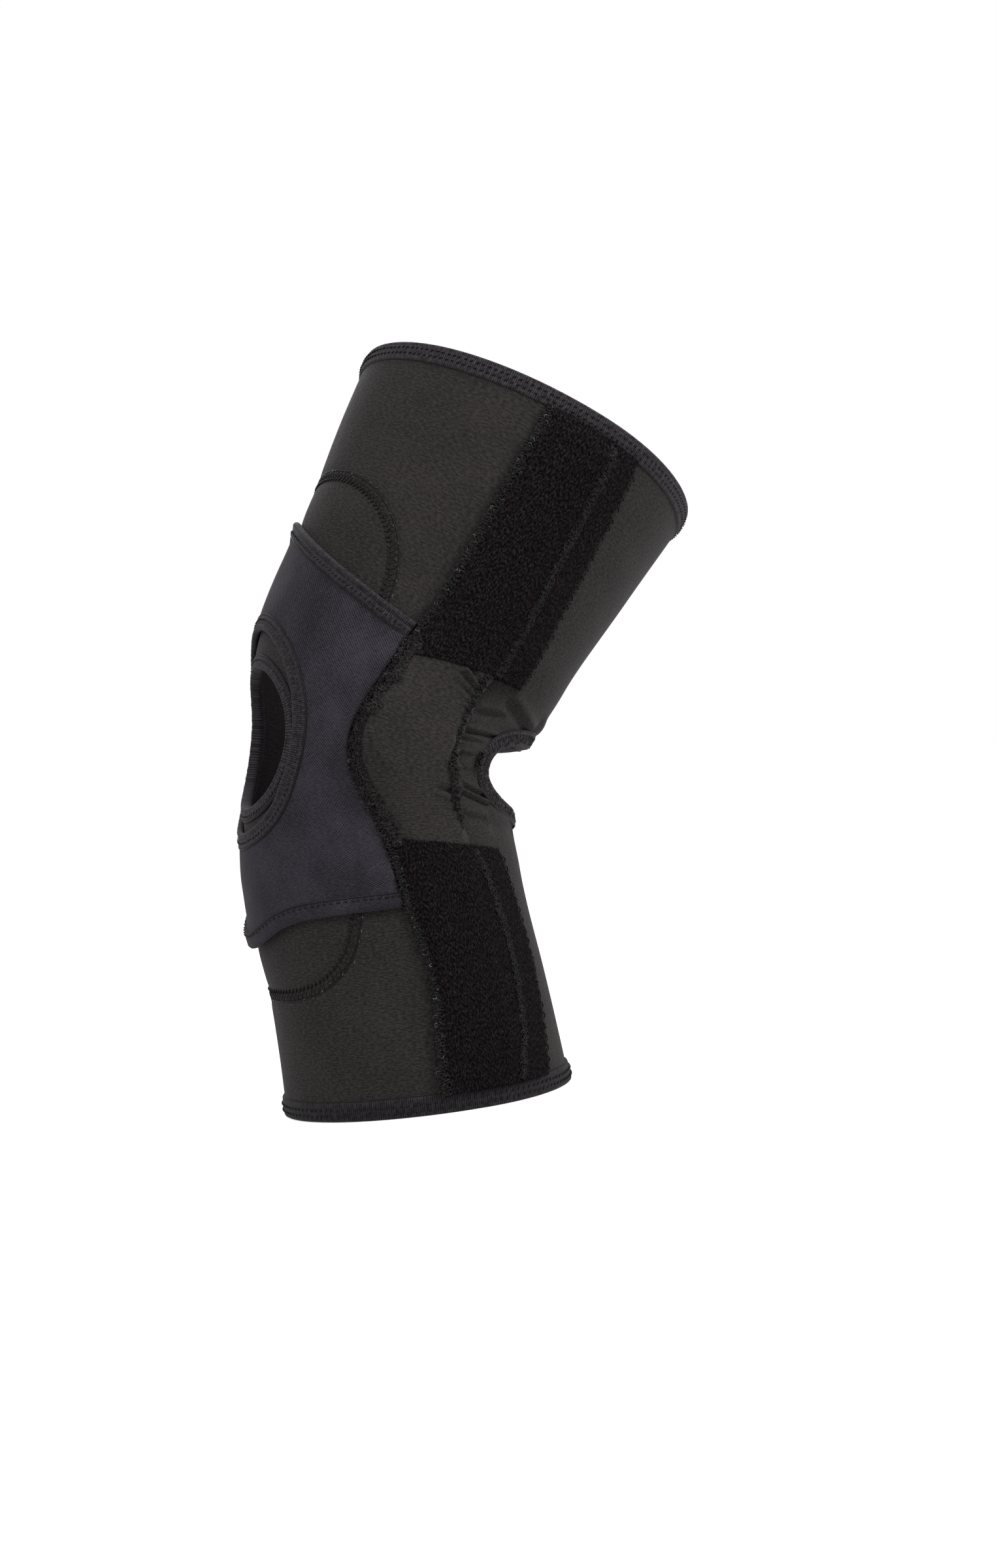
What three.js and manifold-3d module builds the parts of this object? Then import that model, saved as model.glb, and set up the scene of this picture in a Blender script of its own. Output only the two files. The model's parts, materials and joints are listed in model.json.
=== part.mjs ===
// A pull-on neoprene knee brace with two side hinges, a patella opening and an open back of the knee.
// Millimetres and degrees. +Z is up, -Y is the front of the knee and +X is the lateral side of a left leg.
// The brace is stored part bent, standing on its bottom rim.
//
// Every soft piece is laid out on a straight leg, by its height on the leg and its angle round it from the
// front. bend() then turns the layout about the hinge axis, a little at a time, so the sleeve follows the knee.
import * as THREE from "three";
import { mergeVertices } from "three/addons/utils/BufferGeometryUtils.js";
import Module from "manifold-3d";

const wasm = await Module();
wasm.setup();

// ---- Driving dimensions ----------------------------------------------------------------------------
const HINGE_HEIGHT = 157; // hinge axis above the bottom rim
const RIM_HEIGHT = 312; // top rim above the bottom rim at the side of the straight leg
const RIM_SLOPE = 0.075; // the top rim rises towards the rear
const REST_BEND = 38; // lean of the thigh at rest
const SHIN_LEAN = 6; // lean of the sleeve's calf, which stands on its level bottom rim
const ARM_LEAN = 8; // lean of the lower hinge arms
const BEND_REACH = 62; // the sleeve bends within this distance of the hinge axis
const KNEE_REACH = 70; // the stiff panels start this far from the hinge axis
const BISECTOR = (REST_BEND - SHIN_LEAN) / 2; // lean of the line halfway between thigh and calf

// The leg: height, depth in front of the hinge line, depth behind it, and half of the width.
const LEG = [
  [0, 70, 55, 57],
  [50, 66, 54, 56.5],
  [100, 64, 53, 56],
  [130, 55, 60, 55.5],
  [157, 52, 68, 55],
  [190, 63, 66, 58],
  [225, 73, 64, 64.5],
  [270, 82, 68, 70.5],
  [318, 89, 72, 76],
];

// Cloth layers, as offsets from the sleeve's outer face.
const GAP = 0.3; // between pieces that touch
const BAND_GAP = 1; // beside the bowed edge band
const NEOPRENE = 3.2;
const OVERLAY_GAP = 0.8; // the stretch panel lies loosely over the knee cap
const OVERLAY = 2;
const TAPE = 0.8; // how far a binding stands out on each face
const RIM_BINDING = 8.2; // widths of the bindings
const PATELLA_BINDING = 5.4;
const POPLITEAL_BINDING = 7.2;
const OVERLAY_BINDING = 7;
const LOOP = 1.7; // loop pile strip
const COVER = 1.5; // smooth cover over the hinge
const BAND = 1.3; // overlocked edge band

// Seams, as angles round the leg and heights on it.
const EDGE = { angle: 76.5, bow: 9, middle: 148, reach: 22 }; // front edge of the hinge pocket
const EDGE_CALF = { bow: 4, middle: 55, reach: 25 }; // where it bows the other way, down the calf
const BAND_HALF = 2.6;
const INSET_ANGLE = 62; // side seam of the knee cap inset
const INSET_SPLIT = 55; // where the inset's oval runs out under the stiff panels
const INSET_TOP = { height: 150, reach: 93.5, power: 3.3 };
const INSET_BOTTOM = { height: 150, reach: -97, power: 3.7 };
const COVER_REAR = 108.5; // rear seam of the smooth hinge cover
const PATELLA = { height: 148.5, angle: 0, rise: 20.5, sweep: 34 };
const OVERLAY_PEAK = { angle: -14, height: 232, fall: 44, fade: 60, steepen: 1.5, round: 5 };
const OVERLAY_HOLE = { height: 150, angle: 0, rise: 30, sweep: 40.2 };
const POPLITEAL = { height: 152.5, angle: 180, rise: 30.5, sweep: 51.5 };

// Side hinges. The layers are stacked outwards from the sleeve's side.
const HEAD_RADIUS = 14.5;
const PLATE = 0.8;
const ARM = 1.6;
const ARM_WIDTH = 16;
const FLANGE = 0.5;
const UPPER_ARM_LENGTH = 140;
const LOWER_ARM_LENGTH = 135;
const UPPER_HEAD_RADIUS = 9.5;
const ARM_KINK = 22; // the upper arm turns outwards at this distance from the axis
const ARM_SPLAY = 8;
const PIVOT_RADIUS = 2.5;
const PIVOT_FLANGE = 4.6;
const BUSH_WALL = 1.1;
const STOP_RADIUS = 1.5;
const STOP_FLANGE = 2.3;
const STOP_PLACE = 11.5; // stop rivets from the hinge axis
const STOP_ANGLE = 58; // between the upper arm's centre line and the rivet it stops against
const STRAIGHT = -46; // travel of the thigh from rest to the straight leg
const BENT = 69; // and to the fully bent knee

// Inner faces of the hinge's layers along X.
const FLANGE_IN = LEG[4][3] + 0.4;
const PLATE_IN = FLANGE_IN + FLANGE + GAP;
const LOWER_ARM = PLATE_IN + PLATE + GAP;
const UPPER_ARM = LOWER_ARM + ARM + GAP;
const PLATE_OUT = UPPER_ARM + ARM + GAP;
const FLANGE_OUT = PLATE_OUT + PLATE + GAP;
const HINGE_FACE = FLANGE_OUT + FLANGE;

// ---- Small helpers -----------------------------------------------------------------------------------
const { lerp, clamp, smoothstep, degToRad: rad, radToDeg: deg } = THREE.MathUtils;
const sinDeg = (a) => Math.sin(rad(a));
const cosDeg = (a) => Math.cos(rad(a));
const tanDeg = (a) => Math.tan(rad(a));
const layer = (k, low, high) => (k ? high : low);

// Values from stop to stop, in as many even steps as counts gives.
function steps(stops, counts) {
  const values = [stops[0]];
  counts.forEach((count, i) => {
    for (let n = 1; n <= count; n++) values.push(lerp(stops[i], stops[i + 1], n / count));
  });
  return values;
}
const even = (count) => steps([0, 1], [count]);

// A share of a side of a four-sided frame, from -1 to 1, spaced as framedPanel() spaces it.
const sideShare = (t) => Math.SQRT2 * Math.sin(((t - 0.5) * Math.PI) / 2);

// ---- The leg's surface --------------------------------------------------------------------------------
// A value of the leg's table at a height, on a smooth curve through its rows.
function legValue(column, height) {
  const last = LEG.length - 1;
  const above = LEG.findIndex((row) => row[0] > height);
  const i = clamp(above < 0 ? last - 1 : above - 1, 0, last - 1);
  const slope = (k) => {
    const a = LEG[Math.max(k - 1, 0)];
    const b = LEG[Math.min(k + 1, last)];
    return (b[column] - a[column]) / (b[0] - a[0]);
  };
  const [from, to] = [LEG[i], LEG[i + 1]];
  const step = to[0] - from[0];
  const t = clamp((height - from[0]) / step, 0, 1);
  const t2 = t * t;
  const t3 = t2 * t;
  return (
    (2 * t3 - 3 * t2 + 1) * from[column] +
    (t3 - 2 * t2 + t) * step * slope(i) +
    (3 * t2 - 2 * t3) * to[column] +
    (t3 - t2) * step * slope(i + 1)
  );
}

// How much of the knee's bend a height on the leg follows: 0 on the calf and 1 on the thigh.
const share = (height) => smoothstep(height - HINGE_HEIGHT, -BEND_REACH, BEND_REACH);

// How far back the calf's side line runs at a height.
function calfShift(height) {
  const below = Math.max(HINGE_HEIGHT - height, 0);
  return below * tanDeg(SHIN_LEAN) * smoothstep(below, 0, 40);
}

// A point of the straight leg, turned about the hinge axis by its share of the bend.
function bend(x, y, height) {
  const rise = height - HINGE_HEIGHT;
  const turn = REST_BEND * share(height);
  return new THREE.Vector3(
    x,
    y * cosDeg(turn) + rise * sinDeg(turn),
    HINGE_HEIGHT - y * sinDeg(turn) + rise * cosDeg(turn),
  );
}

// The direction straight out of the sleeve, in the leg's cross-section.
function outward(height, angle) {
  const deep = legValue(cosDeg(angle) > 0 ? 1 : 2, height);
  return new THREE.Vector2(sinDeg(angle) / legValue(3, height), -cosDeg(angle) / deep).normalize();
}

// The place in the straight leg's cross-section, as [x, y], at an angle and an offset outwards.
function section(height, angle, offset) {
  const deep = legValue(cosDeg(angle) > 0 ? 1 : 2, height);
  const out = outward(height, angle);
  return [
    legValue(3, height) * sinDeg(angle) + offset * out.x,
    -deep * cosDeg(angle) + offset * out.y + calfShift(height),
  ];
}

function place(height, angle, offset) {
  const [x, y] = section(height, angle, offset);
  return bend(x, y, height);
}

// The height of the top rim's plane at an angle and an offset, lowered along the leg.
function rimHeight(angle, offset, lowered = 0) {
  let height = RIM_HEIGHT;
  for (let pass = 0; pass < 4; pass++) {
    height = RIM_HEIGHT - lowered + RIM_SLOPE * section(height, angle, offset)[1];
  }
  return height;
}

// The height where a level, measured along the knee's bisector from the hinge axis, meets the sleeve.
function kneeLimit(angle, level) {
  let [low, high] = [20, RIM_HEIGHT - 20];
  while (high - low > 0.01) {
    const middle = (low + high) / 2;
    const p = place(middle, angle, 0);
    const along = p.y * sinDeg(BISECTOR) + (p.z - HINGE_HEIGHT) * cosDeg(BISECTOR);
    if (along < level) low = middle;
    else high = middle;
  }
  return low;
}
const kneeTop = (angle) => kneeLimit(angle, KNEE_REACH);
const kneeBottom = (angle) => kneeLimit(angle, -KNEE_REACH);

// ---- Seam lines ------------------------------------------------------------------------------------
const bowAt = ({ bow, middle, reach }, height) => bow * Math.exp(-(((height - middle) / reach) ** 2));
const edgeAngle = (height) => EDGE.angle - bowAt(EDGE, height) + bowAt(EDGE_CALF, height);

// Height of a curved seam of the knee cap inset at an angle.
function insetSeam({ height, reach, power }, angle) {
  const round = 1 - Math.min(Math.abs(angle) / INSET_ANGLE, 1) ** power;
  return height + reach * round ** (1 / power);
}

// It peaks beside the knee's middle and falls ever more gently to its ends.
const overlayTop = (angle) => {
  const away = angle - OVERLAY_PEAK.angle;
  const run = Math.hypot(away < 0 ? OVERLAY_PEAK.steepen * away : away, OVERLAY_PEAK.round);
  return OVERLAY_PEAK.height - OVERLAY_PEAK.fall * (1 - Math.exp(-run / OVERLAY_PEAK.fade));
};
const overlayBottom = (angle) => 86 - 12 * Math.exp(-((angle / 24) ** 2));
const overlaySide = (height) => edgeAngle(height) - BAND_HALF - BAND_GAP;
const pocketFront = (height) => edgeAngle(height) + BAND_HALF + BAND_GAP;
const thighLoopFoot = (angle) => 186 + 0.3 * Math.max(angle - 80, 0);
const calfLoopHead = (angle) => 114 - 0.2 * Math.max(angle - 80, 0);
const thighSeam = (height) => 97 + 0.1 * (RIM_HEIGHT - height);
const thighRear = (height) => 108 + 0.13 * (RIM_HEIGHT - height);
const calfSeam = (height) => 105 + 10 * sinDeg(1.5 * height);
const calfRear = (height) => calfSeam(height) + 17.5;
const underRim = (angle) => rimHeight(angle, 0, RIM_BINDING + GAP);
const overRim = () => RIM_BINDING + GAP;
const moved = (line, by) => (value) => line(value) + by;

// A place, as [height, angle], on a line that gives an angle for a height, at a share of the way from
// bottom to top, which give a height for an angle.
function onLine(line, bottom, top, way) {
  let height = lerp(bottom(90), top(90), way);
  for (let pass = 0; pass < 5; pass++) {
    const angle = line(height);
    height = lerp(bottom(angle), top(angle), way);
  }
  return [height, line(height)];
}

// A point on an oval opening's edge, grown by a width, as [height, angle].
function ovalPoint(oval, turn, grow) {
  return [
    oval.height + (oval.rise + grow) * Math.sin(turn),
    oval.angle + (oval.sweep + grow) * Math.cos(turn),
  ];
}

// ---- Solids ------------------------------------------------------------------------------------------
function geometryOf(positions, triangles) {
  const volume = triangles.reduce((sum, [a, b, c]) => {
    const cross = new THREE.Vector3().crossVectors(positions[b], positions[c]);
    return sum + positions[a].dot(cross);
  }, 0);
  const facingOut = volume > 0 ? triangles : triangles.map(([a, b, c]) => [a, c, b]);
  const geometry = new THREE.BufferGeometry().setFromPoints(positions);
  geometry.setIndex(facingOut.flat());
  geometry.computeVertexNormals();
  return geometry;
}

// The closed solid between two sheets. point(u, v, k) gives a place for each u of us and v of vs, on the
// inner sheet at k = 0 and on the outer at k = 1. The ends of us are the same place on a ring.
function sheetSolid(us, vs, ring, point) {
  const [columns, rows] = [us.length - 1, vs.length - 1];
  const across = ring ? columns : columns + 1;
  const positions = [0, 1].flatMap((k) =>
    vs.flatMap((v) => us.slice(0, across).map((u) => point(u, v, k))),
  );
  const at = (i, j, k) => (k * (rows + 1) + j) * across + (i % across);
  const triangles = [];
  const quad = (a, b, c, d) => triangles.push([a, b, c], [a, c, d]);
  for (let i = 0; i < columns; i++) {
    for (let j = 0; j < rows; j++) {
      quad(at(i, j, 1), at(i + 1, j, 1), at(i + 1, j + 1, 1), at(i, j + 1, 1));
      quad(at(i, j, 0), at(i, j + 1, 0), at(i + 1, j + 1, 0), at(i + 1, j, 0));
    }
    quad(at(i, 0, 0), at(i + 1, 0, 0), at(i + 1, 0, 1), at(i, 0, 1));
    quad(at(i, rows, 0), at(i, rows, 1), at(i + 1, rows, 1), at(i + 1, rows, 0));
  }
  if (!ring) {
    for (let j = 0; j < rows; j++) {
      quad(at(0, j, 0), at(0, j, 1), at(0, j + 1, 1), at(0, j + 1, 0));
      quad(at(columns, j, 0), at(columns, j + 1, 0), at(columns, j + 1, 1), at(columns, j, 1));
    }
  }
  return geometryOf(positions, triangles);
}

// A panel over some angles, between heights that depend on the angle.
function panel(angles, rows, bottom, top, low, high) {
  return sheetSolid(angles, even(rows), false, (angle, v, k) =>
    place(lerp(bottom(angle), top(angle), v), angle, layer(k, low, high)),
  );
}

// A panel with an oval opening. outline(across, along) gives its outer edge as [height, angle], for across
// and along from -1 to 1.
function framedPanel(columns, rows, oval, grow, outline, low, high) {
  return sheetSolid(even(columns), even(rows), true, (u, v, k) => {
    const turn = 2 * Math.PI * u;
    const inner = ovalPoint(oval, turn, grow);
    const across = clamp(Math.SQRT2 * Math.cos(turn), -1, 1);
    const outer = outline(across, clamp(Math.SQRT2 * Math.sin(turn), -1, 1));
    return place(lerp(inner[0], outer[0], v), lerp(inner[1], outer[1], v), layer(k, low, high));
  });
}

// A tape bound round an oval opening.
function ovalBinding(columns, oval, width, low, high) {
  return sheetSolid(even(columns), even(1), true, (u, v, k) => {
    const [height, angle] = ovalPoint(oval, 2 * Math.PI * u, v * width);
    return place(height, angle, layer(k, low, high));
  });
}

// A flat plate from an outline with Y to the rear and Z up, of a thickness along X.
function plateGeometry(outline, thickness) {
  const settings = { depth: thickness, bevelEnabled: false, curveSegments: 12 };
  const turned = new THREE.Matrix4().makeBasis(
    new THREE.Vector3(0, 1, 0),
    new THREE.Vector3(0, 0, 1),
    new THREE.Vector3(1, 0, 0),
  );
  return new THREE.ExtrudeGeometry(outline, settings).applyMatrix4(turned);
}

function circleHole(outline, y, z, radius) {
  const hole = new THREE.Path();
  hole.absarc(y, z, radius, 0, 2 * Math.PI, true);
  outline.holes.push(hole);
}

// A rivet or bush turned about X, from [radius, x] corners.
function turnedGeometry(corners) {
  const profile = corners.map(([radius, x]) => new THREE.Vector2(radius, x));
  return new THREE.LatheGeometry(profile, 20).rotateZ(-Math.PI / 2);
}

function solidOf(geometry) {
  geometry.deleteAttribute("normal");
  geometry.deleteAttribute("uv");
  const merged = mergeVertices(geometry, 1e-3);
  const vertProperties = merged.attributes.position.array;
  const triVerts = new Uint32Array(merged.index.array);
  return new wasm.Manifold(new wasm.Mesh({ numProp: 3, vertProperties, triVerts }));
}

function geometryFrom(solid) {
  const made = solid.getMesh();
  const geometry = new THREE.BufferGeometry();
  geometry.setAttribute("position", new THREE.BufferAttribute(made.vertProperties, 3));
  geometry.setIndex(new THREE.BufferAttribute(made.triVerts, 1));
  const flat = geometry.toNonIndexed();
  flat.computeVertexNormals();
  return flat;
}

// ---- Materials ---------------------------------------------------------------------------------------
const cloth = (color, roughness) =>
  new THREE.MeshStandardMaterial({ color, roughness, metalness: 0 });
const metal = (color, roughness) =>
  new THREE.MeshStandardMaterial({ color, roughness, metalness: 1 });
const MATERIALS = {
  sleeve: () => cloth(0x33302f, 0.9),
  overlay: () => cloth(0x302f3a, 0.9),
  binding: () => cloth(0x28262d, 0.8),
  loop: () => cloth(0x1d1a1b, 1),
  overlock: () => cloth(0x232125, 0.95),
  arm: () => metal(0xb9bcc0, 0.35),
  plate: () => metal(0xa9acb0, 0.4),
  rivet: () => metal(0xd0d2d4, 0.25),
  bush: () => cloth(0xe6e3d8, 0.5),
};

function mesh(name, geometry, material) {
  const made = new THREE.Mesh(geometry, MATERIALS[material]());
  made.name = name;
  return made;
}

// ---- Sleeve panels -----------------------------------------------------------------------------------
function sleevePanels() {
  const insetTop = (angle) => insetSeam(INSET_TOP, angle);
  const insetBottom = (angle) => insetSeam(INSET_BOTTOM, angle);
  const frontFoot = (angle) => Math.max(kneeTop(angle), insetTop(angle)) + GAP;
  const frontHead = (angle) => Math.min(kneeBottom(angle), insetBottom(angle)) - GAP;
  const aboveKnee = moved(kneeTop, GAP);
  const belowKnee = moved(kneeBottom, -GAP);
  const front = steps([-EDGE.angle, -INSET_SPLIT, INSET_SPLIT, EDGE.angle], [2, 12, 2]);
  const inset = steps([-INSET_SPLIT, INSET_SPLIT], [12]);
  const rear = steps([EDGE.angle + GAP, 360 - EDGE.angle - GAP], [24]);
  const low = -NEOPRENE;
  return [
    mesh("thigh_front_panel", panel(front, 7, frontFoot, underRim, low, 0), "sleeve"),
    mesh("thigh_rear_panel", panel(rear, 6, aboveKnee, underRim, low, 0), "sleeve"),
    mesh("calf_front_panel", panel(front, 6, overRim, frontHead, low, 0), "sleeve"),
    mesh("calf_rear_panel", panel(rear, 5, overRim, belowKnee, low, 0), "sleeve"),
    mesh("patella_inset_upper", panel(inset, 3, aboveKnee, moved(insetTop, -GAP), low, 0), "sleeve"),
    mesh("patella_inset_lower", panel(inset, 3, moved(insetBottom, GAP), belowKnee, low, 0), "sleeve"),
  ];
}

// The knee's own stretch of the sleeve, round both openings.
function kneePanels() {
  const insetOutline = (across, along) =>
    onLine(() => INSET_ANGLE * across, kneeBottom, kneeTop, (along + 1) / 2);
  const rearOutline = (across, along) => {
    const line = (height) => 180 + (180 - edgeAngle(height) - GAP) * across;
    return onLine(line, kneeBottom, kneeTop, (along + 1) / 2);
  };
  const front = framedPanel(48, 4, PATELLA, PATELLA_BINDING + GAP, insetOutline, -NEOPRENE, 0);
  const rear = framedPanel(48, 3, POPLITEAL, POPLITEAL_BINDING + GAP, rearOutline, -NEOPRENE, 0);
  return [mesh("patella_inset", front, "sleeve"), mesh("knee_rear_panel", rear, "sleeve")];
}

// The front panel beside the knee, between the inset's side seam and the pocket's edge.
function kneeSide() {
  return sheetSolid(even(2), even(12), false, (u, v, k) => {
    const line = (height) => lerp(INSET_ANGLE + GAP, edgeAngle(height), u);
    const [height, angle] = onLine(line, kneeBottom, kneeTop, (sideShare(v) + 1) / 2);
    return place(height, angle, layer(k, -NEOPRENE, 0));
  });
}

// ---- Bindings ----------------------------------------------------------------------------------------
function bottomBinding() {
  return sheetSolid(even(48), even(1), true, (u, v, k) =>
    place(v * RIM_BINDING, 360 * u, layer(k, -NEOPRENE - TAPE, TAPE)),
  );
}

function topBinding() {
  return sheetSolid(even(48), even(1), true, (u, v, k) => {
    const offset = layer(k, -NEOPRENE - TAPE, TAPE);
    return place(rimHeight(360 * u, offset, (1 - v) * RIM_BINDING), 360 * u, offset);
  });
}

function bindings() {
  const low = -NEOPRENE - TAPE;
  return [
    mesh("bottom_binding", bottomBinding(), "binding"),
    mesh("top_binding", topBinding(), "binding"),
    mesh("patella_binding", ovalBinding(32, PATELLA, PATELLA_BINDING, low, TAPE), "binding"),
    mesh("popliteal_binding", ovalBinding(40, POPLITEAL, POPLITEAL_BINDING, low, TAPE), "binding"),
  ];
}

// ---- Stretch panel over the knee cap -------------------------------------------------------------
function overlayPieces() {
  const [low, high] = [OVERLAY_GAP, OVERLAY_GAP + OVERLAY];
  const [foot, head] = [
    moved(overlayBottom, OVERLAY_BINDING + GAP),
    moved(overlayTop, -OVERLAY_BINDING - GAP),
  ];
  const outline = (across, along) =>
    onLine((height) => overlaySide(height) * across, foot, head, (along + 1) / 2);
  const hem = (line, from, to) =>
    sheetSolid(even(16), even(1), false, (u, v, k) => {
      const side = (height) => overlaySide(height) * sideShare(u);
      const edge = moved(line, lerp(from, to, v));
      const [height, angle] = onLine(side, edge, edge, v);
      return place(height, angle, layer(k, low, high + TAPE));
    });
  const grow = OVERLAY_BINDING + GAP;
  const tape = ovalBinding(40, OVERLAY_HOLE, OVERLAY_BINDING, low, high + TAPE);
  return [
    mesh("overlay_panel", framedPanel(64, 4, OVERLAY_HOLE, grow, outline, low, high), "overlay"),
    mesh("overlay_hole_binding", tape, "binding"),
    mesh("overlay_top_binding", hem(overlayTop, -OVERLAY_BINDING, 0), "binding"),
    mesh("overlay_bottom_hem", hem(overlayBottom, 0, OVERLAY_BINDING), "overlay"),
  ];
}

// ---- Hinge pocket and loop strips on one side ---------------------------------------------------------
// A hinge arm's distance behind the side line at a height, and the x of its outer face.
function armLine(height) {
  const rise = height - HINGE_HEIGHT;
  const turn = REST_BEND * share(height);
  if (rise > 0) return rise * sinDeg(REST_BEND - turn);
  return -rise * sinDeg(ARM_LEAN + turn) - calfShift(height);
}

function armFace(height) {
  const rise = height - HINGE_HEIGHT;
  if (rise < 0) return LOWER_ARM + ARM;
  return UPPER_ARM + ARM + Math.max(rise - ARM_KINK, 0) * tanDeg(ARM_SPLAY);
}

// The offset at which cloth just clears a face at x.
function overFace(height, angle, x) {
  const needed = (x + 2 * GAP - section(height, angle, 0)[0]) / outward(height, angle).x;
  return Math.max(needed, GAP);
}

// The angle round the leg of a line that lies behind the side line by a distance.
function angleBehind(height, behind) {
  return 90 + deg(Math.asin(behind / legValue(behind < 0 ? 1 : 2, height)));
}

// A loop pile strip that covers the hinge arm, flat where the arm lies under it.
function armStrip(rows, bottom, top, seam) {
  const flat = ARM_WIDTH / 2 + 0.7;
  const lines = [-flat, 0, flat, flat + 2.3].map((behind) => (height) =>
    angleBehind(height, armLine(height) + behind),
  );
  lines.unshift(pocketFront);
  lines.push(moved(seam, -GAP));
  const columns = lines.map((line, i) => i);
  return sheetSolid(columns, even(rows), false, (i, v, k) => {
    const [height, angle] = onLine(lines[i], bottom, top, v);
    const stand = i > 0 && i < 4 ? overFace(height, angle, armFace(height)) : GAP;
    return place(height, angle, stand + LOOP * k);
  });
}

// The narrow loop strip behind it.
function edgeStrip(rows, bottom, top, seam, rear) {
  return sheetSolid(even(3), even(rows), false, (u, v, k) => {
    const line = (height) => lerp(seam(height) + GAP, rear(height), u);
    const [height, angle] = onLine(line, bottom, top, v);
    return place(height, angle, GAP + LOOP * k);
  });
}

// The smooth cover over the hinge, domed over its head and ridged over both arms.
function hingeCover() {
  return sheetSolid(even(12), even(14), false, (u, v, k) => {
    const line = (height) => lerp(pocketFront(height), COVER_REAR, u);
    const [foot, head] = [moved(calfLoopHead, GAP), moved(thighLoopFoot, -GAP)];
    const [height, angle] = onLine(line, foot, head, v);
    const behind = section(height, angle, 0)[1] - calfShift(height);
    const fromAxis = Math.hypot(behind, height - HINGE_HEIGHT);
    const fromArm = Math.abs(behind - armLine(height));
    const overHead = overFace(height, angle, HINGE_FACE) * (1 - smoothstep(fromAxis, 17, 25));
    const overArm = overFace(height, angle, armFace(height)) * (1 - smoothstep(fromArm, 10, 16));
    const rim = u === 0 || u === 1;
    return place(height, angle, (rim ? GAP : Math.max(overHead, overArm, GAP)) + COVER * k);
  });
}

// The overlocked tape along the pocket's front edge, from rim to rim.
function edgeBand() {
  const heights = steps([overRim(), 105, 190, underRim(EDGE.angle) - 1], [8, 14, 9]);
  return sheetSolid(even(1), heights, false, (u, height, k) =>
    place(height, edgeAngle(height) + lerp(-BAND_HALF, BAND_HALF, u), GAP + BAND * k),
  );
}

// The bar tack beside the popliteal binding.
function barTack() {
  const angle = POPLITEAL.angle - POPLITEAL.sweep - POPLITEAL_BINDING - 1;
  const { height } = POPLITEAL;
  return sheetSolid(even(2), even(4), false, (u, v, k) =>
    place(height + lerp(-4.5, 4.5, v), angle - lerp(0, 2.2, u), GAP + 1.2 * k),
  );
}

function pocketPieces(side) {
  return [
    mesh(side + "_thigh_loop", armStrip(9, thighLoopFoot, underRim, thighSeam), "loop"),
    mesh(side + "_thigh_loop_edge", edgeStrip(6, thighLoopFoot, underRim, thighSeam, thighRear), "loop"),
    mesh(side + "_calf_loop", armStrip(7, overRim, calfLoopHead, calfSeam), "loop"),
    mesh(side + "_calf_loop_edge", edgeStrip(5, overRim, calfLoopHead, calfSeam, calfRear), "loop"),
    mesh(side + "_hinge_cover", hingeCover(), "sleeve"),
    mesh(side + "_edge_band", edgeBand(), "overlock"),
    mesh(side + "_bar_tack", barTack(), "binding"),
    mesh(side + "_knee_panel", kneeSide(), "sleeve"),
  ];
}

// ---- Side hinge --------------------------------------------------------------------------------------
// The front rivet stops the straight leg and the rear one stops the bent knee. Both sit in the lower arm's
// head, at [y, z] from the hinge axis.
const stopPlaces = [REST_BEND + STRAIGHT - STOP_ANGLE, REST_BEND + BENT + STOP_ANGLE].map((angle) => [
  STOP_PLACE * sinDeg(angle),
  STOP_PLACE * cosDeg(angle),
]);

// An arm that points up, with a round head on the axis and a round far end.
function armOutline(length, headRadius) {
  const half = ARM_WIDTH / 2;
  const neck = Math.acos(half / headRadius);
  const outline = new THREE.Shape();
  outline.moveTo(half, headRadius * Math.sin(neck));
  outline.absarc(0, length - half, half, 0, Math.PI, false);
  outline.absarc(0, 0, headRadius, Math.PI - neck, neck, false);
  return outline;
}

// The upper arm is stamped from a strip that is bent outwards above its head.
function upperArm() {
  const outline = armOutline(UPPER_ARM_LENGTH, UPPER_HEAD_RADIUS);
  circleHole(outline, 0, 0, PIVOT_RADIUS + BUSH_WALL + 2 * GAP);
  const splay = (UPPER_ARM_LENGTH - ARM_KINK) * tanDeg(ARM_SPLAY);
  const strip = new THREE.Shape();
  strip.moveTo(0, -ARM_WIDTH);
  strip.lineTo(ARM, -ARM_WIDTH);
  strip.lineTo(ARM, ARM_KINK);
  strip.lineTo(ARM + splay, UPPER_ARM_LENGTH);
  strip.lineTo(splay, UPPER_ARM_LENGTH);
  strip.lineTo(0, ARM_KINK);
  const bent = new THREE.ExtrudeGeometry(strip, { depth: 2 * ARM_WIDTH, bevelEnabled: false });
  bent.translate(0, 0, -ARM_WIDTH).rotateX(Math.PI / 2);
  const stamp = plateGeometry(outline, 2 * ARM + splay).translate(-ARM / 2, 0, 0);
  return geometryFrom(solidOf(bent).intersect(solidOf(stamp)));
}

// The lower arm is drawn pointing up and turned over, so its stop rivets' places are turned back.
function lowerArm() {
  const outline = armOutline(LOWER_ARM_LENGTH, HEAD_RADIUS);
  circleHole(outline, 0, 0, PIVOT_RADIUS + GAP);
  stopPlaces.forEach(([y, z]) => {
    const around = new THREE.Vector2(y, z).rotateAround(new THREE.Vector2(), rad(180 - ARM_LEAN));
    circleHole(outline, around.x, around.y, STOP_RADIUS + GAP);
  });
  return plateGeometry(outline, ARM);
}

function hingePlate() {
  const outline = new THREE.Shape();
  outline.absarc(0, 0, HEAD_RADIUS, 0, 2 * Math.PI, false);
  circleHole(outline, 0, 0, PIVOT_RADIUS + GAP);
  stopPlaces.forEach(([y, z]) => circleHole(outline, y, z, STOP_RADIUS + GAP));
  return plateGeometry(outline, PLATE);
}

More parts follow.
